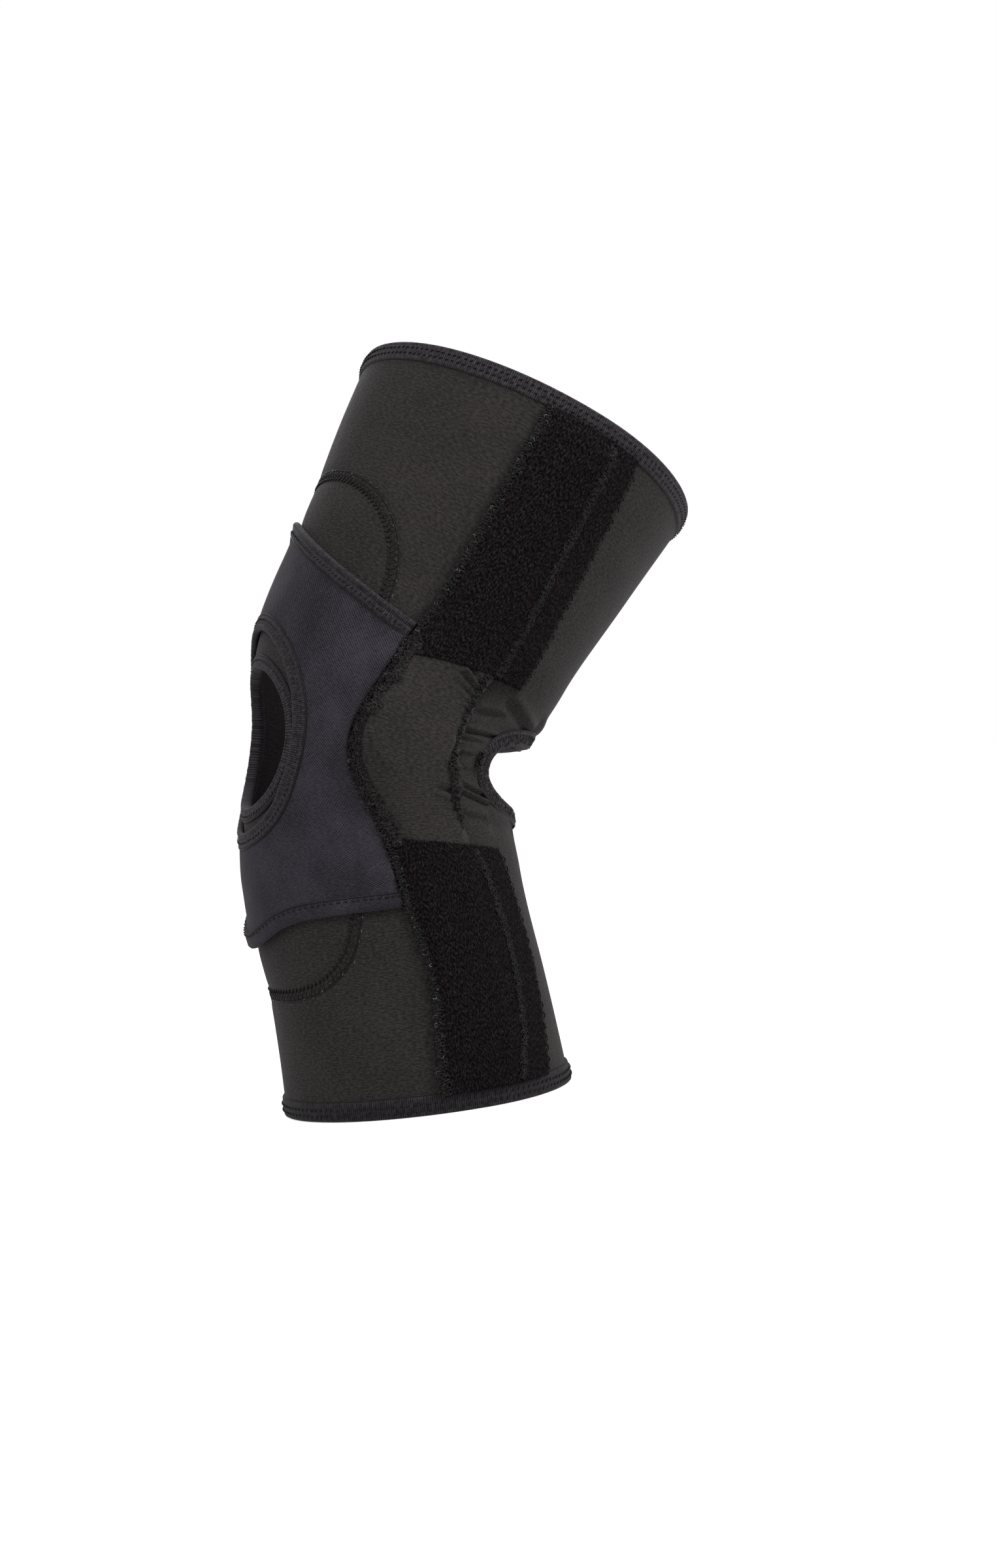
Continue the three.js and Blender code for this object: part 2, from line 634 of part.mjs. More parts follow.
function rivet(radius, flangeRadius) {
  return turnedGeometry([
    [0, FLANGE_IN],
    [flangeRadius, FLANGE_IN],
    [flangeRadius, FLANGE_IN + FLANGE],
    [radius, FLANGE_IN + FLANGE],
    [radius, FLANGE_OUT],
    [flangeRadius, FLANGE_OUT],
    [flangeRadius, HINGE_FACE],
    [0, HINGE_FACE],
  ]);
}

function pivotBush() {
  const [inner, outer] = [PIVOT_RADIUS + GAP, PIVOT_RADIUS + GAP + BUSH_WALL];
  const [low, high] = [UPPER_ARM, UPPER_ARM + ARM];
  return turnedGeometry([
    [inner, low],
    [outer, low],
    [outer, high],
    [inner, high],
    [inner, low],
  ]);
}

function hinge(side) {
  const group = new THREE.Group();
  group.position.z = HINGE_HEIGHT;
  const add = (name, geometry, material, x, turn = 0) => {
    const piece = mesh(side + name, geometry, material);
    piece.position.x = x;
    piece.rotation.x = rad(turn);
    group.add(piece);
    return piece;
  };
  add("_upper_arm", upperArm(), "arm", UPPER_ARM, -REST_BEND);
  add("_lower_arm", lowerArm(), "arm", LOWER_ARM, 180 + ARM_LEAN);
  add("_inner_plate", hingePlate(), "plate", PLATE_IN);
  add("_outer_plate", hingePlate(), "plate", PLATE_OUT);
  add("_pivot_rivet", rivet(PIVOT_RADIUS, PIVOT_FLANGE), "rivet", 0);
  add("_pivot_bush", pivotBush(), "bush", 0);
  stopPlaces.forEach(([y, z], i) => {
    const name = i === 0 ? "_extension_stop" : "_flexion_stop";
    add(name, rivet(STOP_RADIUS, STOP_FLANGE), "rivet", 0).position.set(0, y, z);
  });
  return group;
}

// ---- Assembly ----------------------------------------------------------------------------------------
function sideGroup(side) {
  const group = new THREE.Group();
  group.add(...pocketPieces(side), hinge(side));
  group.scale.x = side === "medial" ? -1 : 1;
  return group;
}

const brace = new THREE.Group();
brace.add(...sleevePanels(), ...kneePanels(), ...bindings(), ...overlayPieces());
brace.add(sideGroup("lateral"), sideGroup("medial"));

// The origin is under the middle of the whole brace.
const extent = new THREE.Box3().setFromObject(brace, true);
brace.position.y = -(extent.min.y + extent.max.y) / 2;

export default brace;
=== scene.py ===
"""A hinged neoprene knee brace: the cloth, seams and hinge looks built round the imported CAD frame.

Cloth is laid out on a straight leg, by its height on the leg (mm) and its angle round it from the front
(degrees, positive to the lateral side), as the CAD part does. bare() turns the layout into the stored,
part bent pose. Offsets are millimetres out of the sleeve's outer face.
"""

import json
import math

import bpy
import numpy as np
from mathutils import Matrix, Vector


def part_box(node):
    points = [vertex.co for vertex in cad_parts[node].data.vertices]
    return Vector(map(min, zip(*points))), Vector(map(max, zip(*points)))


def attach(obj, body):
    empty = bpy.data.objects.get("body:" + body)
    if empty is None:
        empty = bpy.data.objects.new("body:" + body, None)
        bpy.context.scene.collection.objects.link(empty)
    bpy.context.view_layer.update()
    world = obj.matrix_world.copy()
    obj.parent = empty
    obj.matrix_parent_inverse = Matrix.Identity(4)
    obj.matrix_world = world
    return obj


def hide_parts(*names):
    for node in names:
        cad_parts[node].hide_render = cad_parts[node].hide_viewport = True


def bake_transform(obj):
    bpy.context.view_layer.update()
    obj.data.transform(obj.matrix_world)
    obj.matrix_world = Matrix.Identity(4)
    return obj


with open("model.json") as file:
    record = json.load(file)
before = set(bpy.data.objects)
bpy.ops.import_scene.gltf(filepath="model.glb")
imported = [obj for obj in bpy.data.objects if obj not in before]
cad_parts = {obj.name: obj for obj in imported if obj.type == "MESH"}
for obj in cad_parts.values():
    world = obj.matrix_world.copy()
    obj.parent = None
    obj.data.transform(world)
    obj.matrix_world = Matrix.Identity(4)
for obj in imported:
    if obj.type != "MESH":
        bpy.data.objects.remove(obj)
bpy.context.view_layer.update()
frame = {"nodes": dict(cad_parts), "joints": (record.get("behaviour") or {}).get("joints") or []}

MM = 0.001
rng = np.random.default_rng(7)

# ---- Dimensions: mm and degrees, as in the CAD part except where a comment says otherwise ----
HINGE = np.array(frame["joints"][0]["pos_m"]) / MM
RIM_HEIGHT, RIM_SLOPE = 312, 0.075
REST_BEND, SHIN_LEAN, ARM_LEAN = 38, 6, 8
BEND_REACH = 62
# How far from the hinge the cloth's bend reaches. This model's own: less than in CAD, because
# cloth that turns later than the hinge arms lets them through.
# The leg: height, depth in front of the hinge line, depth behind it, half of the width.
LEG = np.array([
    [0, 70, 55, 57], [50, 66, 54, 56.5], [100, 64, 53, 56], [130, 55, 60, 55.5], [157, 52, 68, 55],
    [190, 63, 66, 58], [225, 73, 64, 64.5], [270, 82, 68, 70.5], [318, 89, 72, 76],
])
NEOPRENE, TAPE_OUT = 3.2, 0.9
RIM_TAPE, PATELLA_TAPE, POPLITEAL_TAPE, OVERLAY_TAPE = 8.4, 5.6, 7.4, 6.8
EDGE_ANGLE = 76.5
# How the pocket's front edge bows at the knee and down the calf: degrees, middle height, reach.
EDGE_BOWS = ((-9, 148, 22), (4, 55, 25))
OVERLAY_PEAK = {"angle": -14, "height": 232.5, "fall": 44, "fade": 60, "steepen": 1.5, "round": 12}
BAND_HALF = 2.7
INSET_ANGLE, INSET_MIDDLE = 62, 150
INSET_REACH_TOP, INSET_REACH_BOTTOM, INSET_POWER_TOP, INSET_POWER_BOTTOM = 93.5, 97, 3.3, 3.7
PATELLA = (148.5, 0, 20.5, 34)
OVERLAY_HOLE = (150, 0, 30, 39.2)
POPLITEAL = (152.5, 180, 30.5, 51.5)
COVER_REAR = 108.7
ARM_HALF, ARM_KINK, ARM_SPLAY = 8, 22, 8
HEAD_RADIUS = 14.5


# ---- The leg's surface ----
def smooth(t):
    t = np.clip(t, 0, 1)
    return t * t * (3 - 2 * t)


def leg_value(column, s):
    """A column of LEG at heights s, on a smooth curve through its rows."""
    x, y = LEG[:, 0], LEG[:, column]
    before = np.maximum(np.arange(len(x)) - 1, 0)
    after = np.minimum(np.arange(len(x)) + 1, len(x) - 1)
    slope = (y[after] - y[before]) / (x[after] - x[before])
    i = np.clip(np.searchsorted(x, s, side="right") - 1, 0, len(x) - 2)
    step = x[i + 1] - x[i]
    t = np.clip((s - x[i]) / step, 0, 1)
    start = (2 * t**3 - 3 * t**2 + 1) * y[i] + (t**3 - 2 * t**2 + t) * step * slope[i]
    return start + (3 * t**2 - 2 * t**3) * y[i + 1] + (t**3 - t**2) * step * slope[i + 1]


def calf_shift(s):
    below = np.maximum(HINGE[2] - s, 0)
    return below * math.tan(math.radians(SHIN_LEAN)) * smooth(below / 40)


def section(s, phi, off):
    """Across and behind the side line on the straight leg."""
    a = np.radians(phi)
    wide = leg_value(3, s)
    deep = np.where(np.cos(a) > 0, leg_value(1, s), leg_value(2, s))
    ox, oy = np.sin(a) / wide, -np.cos(a) / deep
    size = np.hypot(ox, oy)
    x = wide * np.sin(a) + off * ox / size
    y = -deep * np.cos(a) + off * oy / size + calf_shift(s)
    return x, y


def bare(s, phi, off):
    """A point of the smooth sleeve, in mm in the object's frame."""
    s, phi, off = np.broadcast_arrays(*(np.asarray(v, float) for v in (s, phi, off)))
    x, y = section(s, phi, off)
    rise = s - HINGE[2]
    turn = np.radians(REST_BEND) * smooth((rise + BEND_REACH) / (2 * BEND_REACH))
    back = HINGE[1] + y * np.cos(turn) + rise * np.sin(turn)
    high = HINGE[2] - y * np.sin(turn) + rise * np.cos(turn)
    return np.stack([x, back, high], -1)


def rim_height(phi, lowered):
    """The height of the sloping top rim, lowered by some mm."""
    s = np.full_like(np.asarray(phi, float), RIM_HEIGHT)
    for _ in range(4):
        s = RIM_HEIGHT - lowered + RIM_SLOPE * section(s, phi, 0)[1]
    return s


# ---- Seam lines ----
def edge_angle(s):
    return EDGE_ANGLE + sum(bow * np.exp(-(((s - middle) / reach) ** 2)) for bow, middle, reach in EDGE_BOWS)


def inset_form(above):
    """The power and the reach of the inset's rounded outline, above its middle or below."""
    power = np.where(above, INSET_POWER_TOP, INSET_POWER_BOTTOM)
    return power, np.where(above, INSET_REACH_TOP, INSET_REACH_BOTTOM)


def inset_share(s, phi):
    """0 at the middle of the knee cap inset and 1 on its seam."""
    power, reach = inset_form(np.asarray(s) > INSET_MIDDLE)
    return ((np.abs(phi) / INSET_ANGLE) ** power + (np.abs(s - INSET_MIDDLE) / reach) ** power) ** (1 / power)


def oval_share(oval, s, phi):
    middle, angle, rise, sweep = oval
    return np.hypot((s - middle) / rise, (np.asarray(phi) - angle) / sweep)


def overlay_top(phi):
    away = phi - OVERLAY_PEAK["angle"]
    run = np.hypot(np.where(away < 0, OVERLAY_PEAK["steepen"] * away, away), OVERLAY_PEAK["round"])
    return OVERLAY_PEAK["height"] - OVERLAY_PEAK["fall"] * (1 - np.exp(-run / OVERLAY_PEAK["fade"]))


def overlay_bottom(phi):
    return 86 - 12 * np.exp(-((phi / 24) ** 2))


def overlay_side(s):
    return edge_angle(s) - 2.2


def thigh_seam(s):
    return 97 + 0.1 * (RIM_HEIGHT - s)


def thigh_rear(s):
    return 108 + 0.13 * (RIM_HEIGHT - s)


def calf_seam(s):
    return 105 + 10 * np.sin(np.radians(1.5 * s))


def calf_rear(s):
    return calf_seam(s) + 17.5


def thigh_foot(phi):
    return 186 + 0.3 * np.maximum(phi - 80, 0)


def calf_head(phi):
    return 114 - 0.2 * np.maximum(phi - 80, 0)


# ---- Relief: how the worn cloth departs from the smooth sleeve ----
# About how far round the leg one degree is, and how far the inset's middle is from its seam
MM_PER_DEGREE = 1.1
INSET_HALF = 75


def fold(s, phi, start, start_angle, end, end_angle, width, depth):
    """A crease from one height and angle to another, with a soft ridge above it."""
    ax, bx, px = (angle * MM_PER_DEGREE for angle in (start_angle, end_angle, phi))
    length = math.hypot(bx - ax, end - start)
    ux, uy = (bx - ax) / length, (end - start) / length
    along = (px - ax) * ux + (s - start) * uy
    side = (s - start) * ux - (px - ax) * uy
    fade = smooth((along + width) / (2 * width)) * smooth((length + width - along) / (2 * width))
    ridge = 0.75 * np.exp(-(((side - 1.7 * width) / (1.2 * width)) ** 2))
    return depth * fade * (ridge - np.exp(-((side / width) ** 2)))


# Each fold: start height and angle, end height and angle, width, depth
REAR_FOLDS = [
    (165, 110, 170, 127, 1.1, 2.1), (161, 110, 163, 120, 1.0, 1.1),
    (134.5, 110, 127.5, 130, 1.0, 1.9), (138.5, 109, 133, 128, 1.0, 1.7),
    (146, 110, 146, 117, 1.0, 1.0), (153, 110, 154, 117, 1.0, 1.0),
    (190, 122, 184, 150, 3.0, 1.7), (192, 152, 188, 180, 4.0, 1.5),
    (116, 128, 112, 160, 3.5, 1.4), (176, 111, 183, 126, 2.0, 1.6),
    (122, 111, 119, 126, 2.0, 1.3),
]


def swell(s, side):
    """The sleeve's padded rise before and behind the hinge, under the pocket's two seams."""
    away = np.hypot((side - 90) * MM_PER_DEGREE, s - HINGE[2])
    front = 2.6 * np.exp(-(((away - 27) / 12) ** 2)) * smooth((edge_angle(s) + 5 - side) / 9)
    rear = 3.6 * np.exp(-(((away - 24) / 13) ** 2)) * smooth((side - 103.5) / 6)
    return front + rear


def relief(s, phi):
    """Millimetres out of the smooth sleeve, the same on both sides of the leg apart from slow waves."""
    phi = (np.asarray(phi, float) + 180) % 360 - 180
    side = np.abs(phi)
    up = 0.25 * np.sin(s / 17 + side / 21) * np.sin(phi / 15 - s / 31)
    from_seam = (1 - inset_share(s, phi)) * INSET_HALF
    up = up + 1.0 * smooth(from_seam / 14) - 0.7 * np.exp(-((from_seam / 2.6) ** 2)) + swell(s, side)
    for crease in REAR_FOLDS:
        up = up + fold(s, side, *crease)
    seam = np.exp(-(((side - COVER_REAR) * MM_PER_DEGREE / 2.2) ** 2)) * smooth((s - 112) / 6)
    pucker = 0.35 * np.sin(s * 1.35) + 0.2 * np.sin(s * 0.61 + 1)
    return up - seam * smooth((196 - s) / 6) * (0.9 - pucker)


def surface(s, phi, off):
    return bare(s, phi, off + relief(s, phi))


# ---- The drape of the pocket cloth over the hinge ----
DRAPE_STEP_S, DRAPE_STEP_PHI = 2.0, 1.5
DRAPE_S = np.arange(-4, 326, DRAPE_STEP_S)
DRAPE_PHI = np.arange(60, 136, DRAPE_STEP_PHI)
ARM_REACH_UP, ARM_REACH_DOWN = 140, 135
RELAX_STEPS = 400
HINGE_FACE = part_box("lateral_pivot_rivet")[1][0] / MM
LOWER_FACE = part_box("lateral_lower_arm")[1][0] / MM
ARM_THICK = 1.6
UPPER_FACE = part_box("lateral_upper_arm")[0][0] / MM + ARM_THICK
# How far the cloth clears the hinge's face and the arms' faces and edges
FACE_GAP, ARM_GAP, EDGE_GAP = 0.7, 0.6, 1.4


def stretched(need, held):
    """A cloth pulled tight over the heights it must clear, and held down elsewhere."""
    lift = need.copy()
    for _ in range(RELAX_STEPS):
        p = np.pad(lift, 1, mode="edge")
        lift = (p[:-2, 1:-1] + p[2:, 1:-1] + p[1:-1, :-2] + p[1:-1, 2:]) / 4
        lift = np.where(held, 0, np.maximum(lift, need))
    return lift


def pocket_drape():
    """How far the cloth stands off the sleeve to clear the hinge, on the DRAPE_S by DRAPE_PHI grid."""
    s, phi = np.meshgrid(DRAPE_S, DRAPE_PHI, indexing="ij")
    p = bare(s, phi, 0)
    lift = (bare(s, phi, 1) - p)[..., 0]
    y, z = p[..., 1] - HINGE[1], p[..., 2] - HINGE[2]
    need = np.zeros_like(s)

    def cover(where, face):
        np.copyto(need, np.maximum(need, (face - p[..., 0]) / lift), where=where)

    cover(np.hypot(y, z) < HEAD_RADIUS + 1.5, HINGE_FACE + FACE_GAP)
    for lean, length, up in ((REST_BEND, ARM_REACH_UP, True), (180 - ARM_LEAN, ARM_REACH_DOWN, False)):
        ly, lz = math.sin(math.radians(lean)), math.cos(math.radians(lean))
        along, across = y * ly + z * lz, np.abs(y * lz - z * ly)
        splay = np.maximum(along - ARM_KINK, 0) * math.tan(math.radians(ARM_SPLAY)) if up else 0
        face = (UPPER_FACE if up else LOWER_FACE) + splay + ARM_GAP
        # Wider by the hinge, where the arms swing inside the pocket
        wide = ARM_HALF + EDGE_GAP + 6 * smooth((48 - along) / 34)
        cover((along > 0) & (along < length) & (across < wide), face)
    sewn_front = phi < edge_angle(s) + 0.5
    held = sewn_front | (phi > np.where(s > HINGE[2] + 27, thigh_rear(s), COVER_REAR + 0.5))
    held = held & ((s > calf_head(phi)) | sewn_front | (phi > calf_rear(s)))
    held = held | (s > RIM_HEIGHT - 6) | (s < 6)
    return stretched(need, held) + 0.25


DRAPE = pocket_drape()


def on_grid(grid, i, j):
    """A grid's values at rows i and columns j, which may lie between its own."""
    i0, j0 = i.astype(int), j.astype(int)
    fi, fj = i - i0, j - j0
    left = grid[i0, j0] * (1 - fi) * (1 - fj) + grid[i0 + 1, j0] * fi * (1 - fj)
    return left + grid[i0, j0 + 1] * (1 - fi) * fj + grid[i0 + 1, j0 + 1] * fi * fj


def drape(s, phi):
    """The drape at heights s and angles phi."""
    i = np.clip((s - DRAPE_S[0]) / DRAPE_STEP_S, 0, len(DRAPE_S) - 1.001)
    j = np.clip((phi - DRAPE_PHI[0]) / DRAPE_STEP_PHI, 0, len(DRAPE_PHI) - 1.001)
    return on_grid(DRAPE, i, j)


# ---- Mesh building ----
class Geom:
    """Vertices in mm, quads, triangles, and each vertex's place on the cloth in mm."""

    def __init__(self, verts, quads, tris=(), cloth=None):
        self.verts = np.asarray(verts, float).reshape(-1, 3)
        self.quads = np.asarray(quads, int).reshape(-1, 4)
        self.tris = np.asarray(tris, int).reshape(-1, 3)
        self.cloth = self.verts if cloth is None else np.asarray(cloth, float).reshape(-1, 3)

    def mirrored(self):
        flip = np.array([-1, 1, 1])
        return Geom(self.verts * flip, self.quads[:, ::-1], self.tris[:, ::-1], self.cloth * flip)


def join(*geoms):
    starts = np.cumsum([0] + [len(g.verts) for g in geoms])
    quads = np.concatenate([g.quads + start for g, start in zip(geoms, starts)])
    tris = np.concatenate([g.tris + start for g, start in zip(geoms, starts)])
    verts, cloth = np.concatenate([g.verts for g in geoms]), np.concatenate([g.cloth for g in geoms])
    return Geom(verts, quads, tris, cloth)


def shell(s, phi, outer, inner, keep=True):
    """The closed cloth between two offsets over a grid of heights s and angles phi, each (rows, columns).
    keep says which cells there are."""
    rows, columns = s.shape
    keep = np.broadcast_to(keep, (rows - 1, columns - 1))
    index = np.arange(rows * columns).reshape(rows, columns)
    j, i = np.nonzero(keep)
    a, b, c, d = index[j, i], index[j, i + 1], index[j + 1, i + 1], index[j + 1, i]
    below = rows * columns
    quads = [np.stack([a, b, c, d], 1), np.stack([d, c, b, a], 1) + below]
    padded = np.pad(keep, 1)
    # Walls where a cell has no neighbour below, to the right, above or to the left
    for near, p, q in (
        (padded[j, i + 1], a, b),
        (padded[j + 1, i + 2], b, c),
        (padded[j + 2, i + 1], c, d),
        (padded[j + 1, i], d, a),
    ):
        quads.append(np.stack([q, p, p + below, q + below], 1)[~near])
    verts = np.stack([surface(s, phi, outer), surface(s, phi, inner)]).reshape(-1, 3)
    cloth = np.stack([phi * MM_PER_DEGREE, s, np.zeros_like(s)], -1).reshape(-1, 3)
    used, corners = np.unique(np.concatenate(quads), return_inverse=True)
    return Geom(verts[used], corners.reshape(-1, 4), (), np.concatenate([cloth, cloth])[used])


# How far on each side of a point a line's direction is measured, in mm
PROBE = 0.4


class Path:
    """A line on the cloth. At lengths along it, frames() gives points, and unit vectors out of the cloth
    and across the line, to its left as seen from outside."""

    def __init__(self, s, phi, off=0.0, closed=False, on=surface):
        self.s, self.phi, self.closed = np.asarray(s, float), np.asarray(phi, float), closed
        self.off = np.broadcast_to(np.asarray(off, float), self.s.shape)
        self.surface = on
        points = self.surface(self.s, self.phi, self.off)
        steps = np.linalg.norm(np.diff(points, axis=0), axis=1)
        self.run = np.concatenate([[0], np.cumsum(steps)])
        self.length = self.run[-1]

    def lengths(self, pitch):
        count = max(int(round(self.length / pitch)), 2)
        return np.linspace(0, self.length, count + 1)[: count if self.closed else count + 1]

    def at(self, length):
        """Height, angle and offset at lengths along the line. An open line stops at its ends."""
        if self.closed:
            length = np.mod(length, self.length)
        return tuple(np.interp(length, self.run, v) for v in (self.s, self.phi, self.off))

    def frames(self, length):
        if not self.closed:
            length = np.clip(length, 0, self.length)
        ahead, behind = (self.surface(*self.at(length + step)) for step in (PROBE, -PROBE))
        along = unit(ahead - behind)
        # Out of the cloth, square to both of its own directions
        s, phi, off = self.at(length)
        around = bare(s, phi + 0.5, off) - bare(s, phi - 0.5, off)
        up = unit(np.cross(around, bare(s + 0.5, phi, off) - bare(s - 0.5, phi, off)))
        across = unit(np.cross(up, along))
        return self.surface(s, phi, off), unit(np.cross(along, across)), across

    def place(self, length, left, out):
        """Points at lengths along the line, moved to its left and out of the cloth, and the way out."""
        here, up, across = self.frames(length)
        return here + left[..., None] * across + out[..., None] * up, up


def unit(v):
    return v / np.linalg.norm(v, axis=-1, keepdims=True)


def sweep(path, profile, pitch=1.0, wobble=0.0):
    """A closed profile of (across, up) points carried along a path."""
    profile = np.asarray(profile, float)
    lengths = path.lengths(pitch)
    here, up, across = path.frames(lengths)
    n, m = len(lengths), len(profile)
    out = profile[None, :, 1] + wobble * rng.normal(size=(n, m))
    verts = here[:, None] + profile[None, :, 0, None] * across[:, None] + out[..., None] * up[:, None]
    cloth = np.stack(np.broadcast_arrays(lengths[:, None], profile[None, :, 0], 0.0), -1)
    index = np.arange(n * m).reshape(n, m)
    after = np.roll(index, -1, 0) if path.closed else index[1:]
    this = index if path.closed else index[:-1]
    quads = np.stack([this, after, np.roll(after, -1, 1), np.roll(this, -1, 1)], -1).reshape(-1, 4)
    caps = [] if path.closed else fans(index[0]) + fans(index[-1][::-1])
    return outward(Geom(verts, quads, caps, cloth))


def fans(loop):
    return [(loop[0], loop[k], loop[k + 1]) for k in range(1, len(loop) - 1)]


def outward(geom):
    """The geometry with its faces turned to face out."""
    v, q = geom.verts, geom.quads
    tri = np.concatenate([q[:, [0, 1, 2]], q[:, [0, 2, 3]], geom.tris])
    volume = np.einsum("ij,ij->i", v[tri[:, 0]], np.cross(v[tri[:, 1]], v[tri[:, 2]])).sum()
    if volume < 0:
        geom.quads, geom.tris = geom.quads[:, ::-1], geom.tris[:, ::-1]
    return geom


def threads(points, ups, radius, thin=0.45):
    """Threads with square sections along points (count, steps, 3), thinner at their ends."""
    points = np.asarray(points, float)
    count, steps, _ = points.shape
    along = unit(np.gradient(points, axis=1))
    side = unit(np.cross(along, ups))
    rise = np.cross(side, along)
    size = np.broadcast_to(np.asarray(radius, float).reshape(-1, 1), (count, steps)).copy()
    size[:, [0, -1]] *= thin
    turns = np.arange(4) * math.pi / 2 + math.pi / 4
    verts = np.stack([points + size[..., None] * (math.cos(t) * side + math.sin(t) * rise) for t in turns], 2)
    index = np.arange(count * steps * 4).reshape(count, steps, 4)
    a, b = index[:, :-1], index[:, 1:]
    walls = np.stack([a, np.roll(a, -1, 2), np.roll(b, -1, 2), b], -1).reshape(-1, 4)
    caps = np.concatenate([index[:, 0, ::-1], index[:, -1]])
    return Geom(verts, np.concatenate([walls, caps]))


def stitches(path, across, pitch, length, radius, lift=0.1, skew=0.0, jitter=0.1):
    """A row of stitches of a length, a pitch apart, each sinking into the cloth at its ends."""
    middle = path.lengths(pitch)
    middle = middle + rng.normal(size=len(middle)) * jitter
    k = np.linspace(-1, 1, 5)
    at = middle[:, None] + k * length / 2
    rise = lift + radius * 1.3 * (1 - k**2 * 1.9)
    sideways = across + skew * k + rng.normal(size=(len(middle), 1)) * jitter * 0.5
    return threads(*path.place(at, sideways, rise), radius)


def zigzag(path, low, high, pitch, radius, lift=0.15, jitter=0.12):
    """Threads that cross from low to high and back along a path."""
    count = max(int(path.length / pitch), 2)
    ends = np.arange(count + 1) * path.length / count
    across = np.where(np.arange(count + 1) % 2, high, low)
    ends = ends + rng.normal(size=count + 1) * jitter
    across = across + rng.normal(size=count + 1) * jitter
    k = np.linspace(0, 1, 5)
    at = ends[:-1, None] * (1 - k) + ends[1:, None] * k
    sideways = across[:-1, None] * (1 - k) + across[1:, None] * k
    rise = lift + radius * (0.2 + 1.6 * np.sin(math.pi * k))
    return threads(*path.place(at, sideways, rise), radius, 0.8)


def curls(path, half, pitch, radius, size, height):
    """Curled thread ends and loops, lying at random over a band of a path."""
    centre = path.lengths(pitch)
    n = len(centre)
    k = np.linspace(0, 1, 8)
    start, turn = rng.uniform(0, 2 * math.pi, (n, 1)), rng.uniform(0.9, 1.7, (n, 1)) * math.pi
    turn = turn * rng.choice([-1, 1], (n, 1))
    wide = size * rng.uniform(0.6, 1.3, (n, 1))
    at = centre[:, None] + rng.normal(size=(n, 1)) * pitch * 0.4 + wide * np.cos(start + turn * k)
    across = rng.uniform(-1, 1, (n, 1)) * half + 1.25 * wide * np.sin(start + turn * k)
    rise = 0.05 + height * rng.uniform(0.4, 1.3, (n, 1)) * np.sin(math.pi * k)
    return threads(*path.place(at, across, rise), radius * rng.uniform(0.8, 1.25, n), 0.6)


def tufts(s, phi, off, length, width, lean):
    """Pile: a small spike at each place, leaning by lean (height, angle direction) and at random."""
    base = surface(s, phi, off)
    up = unit(bare(s, phi, off + 1) - bare(s, phi, off))
    high = unit(bare(s + 1, phi, off) - base)
    side = unit(np.cross(high, up))
    n = len(base)
    tilt = rng.normal(size=(n, 2)) * 0.55 + np.asarray(lean)
    way = unit(up + tilt[:, :1] * high + tilt[:, 1:] * side)
    tall = length * rng.uniform(0.6, 1.4, (n, 1))
    turn = rng.uniform(0, 2 * math.pi, n)
    corners = [
        base - 0.25 * up + width * (np.cos(turn + t)[:, None] * high + np.sin(turn + t)[:, None] * side)
        for t in (0, 2 * math.pi / 3, 4 * math.pi / 3)
    ]
    verts = np.stack([*corners, base + tall * way], 1)
    i = np.arange(n)[:, None] * 4
    tris = np.concatenate([i + [0, 1, 3], i + [1, 2, 3], i + [2, 0, 3], i + [0, 2, 1]])
    return outward(Geom(verts, np.zeros((0, 4), int), tris))


# ---- Materials ----
# The Wave texture's scale that gives bands 1 mm wide
ONE_MM_BANDS = 0.314


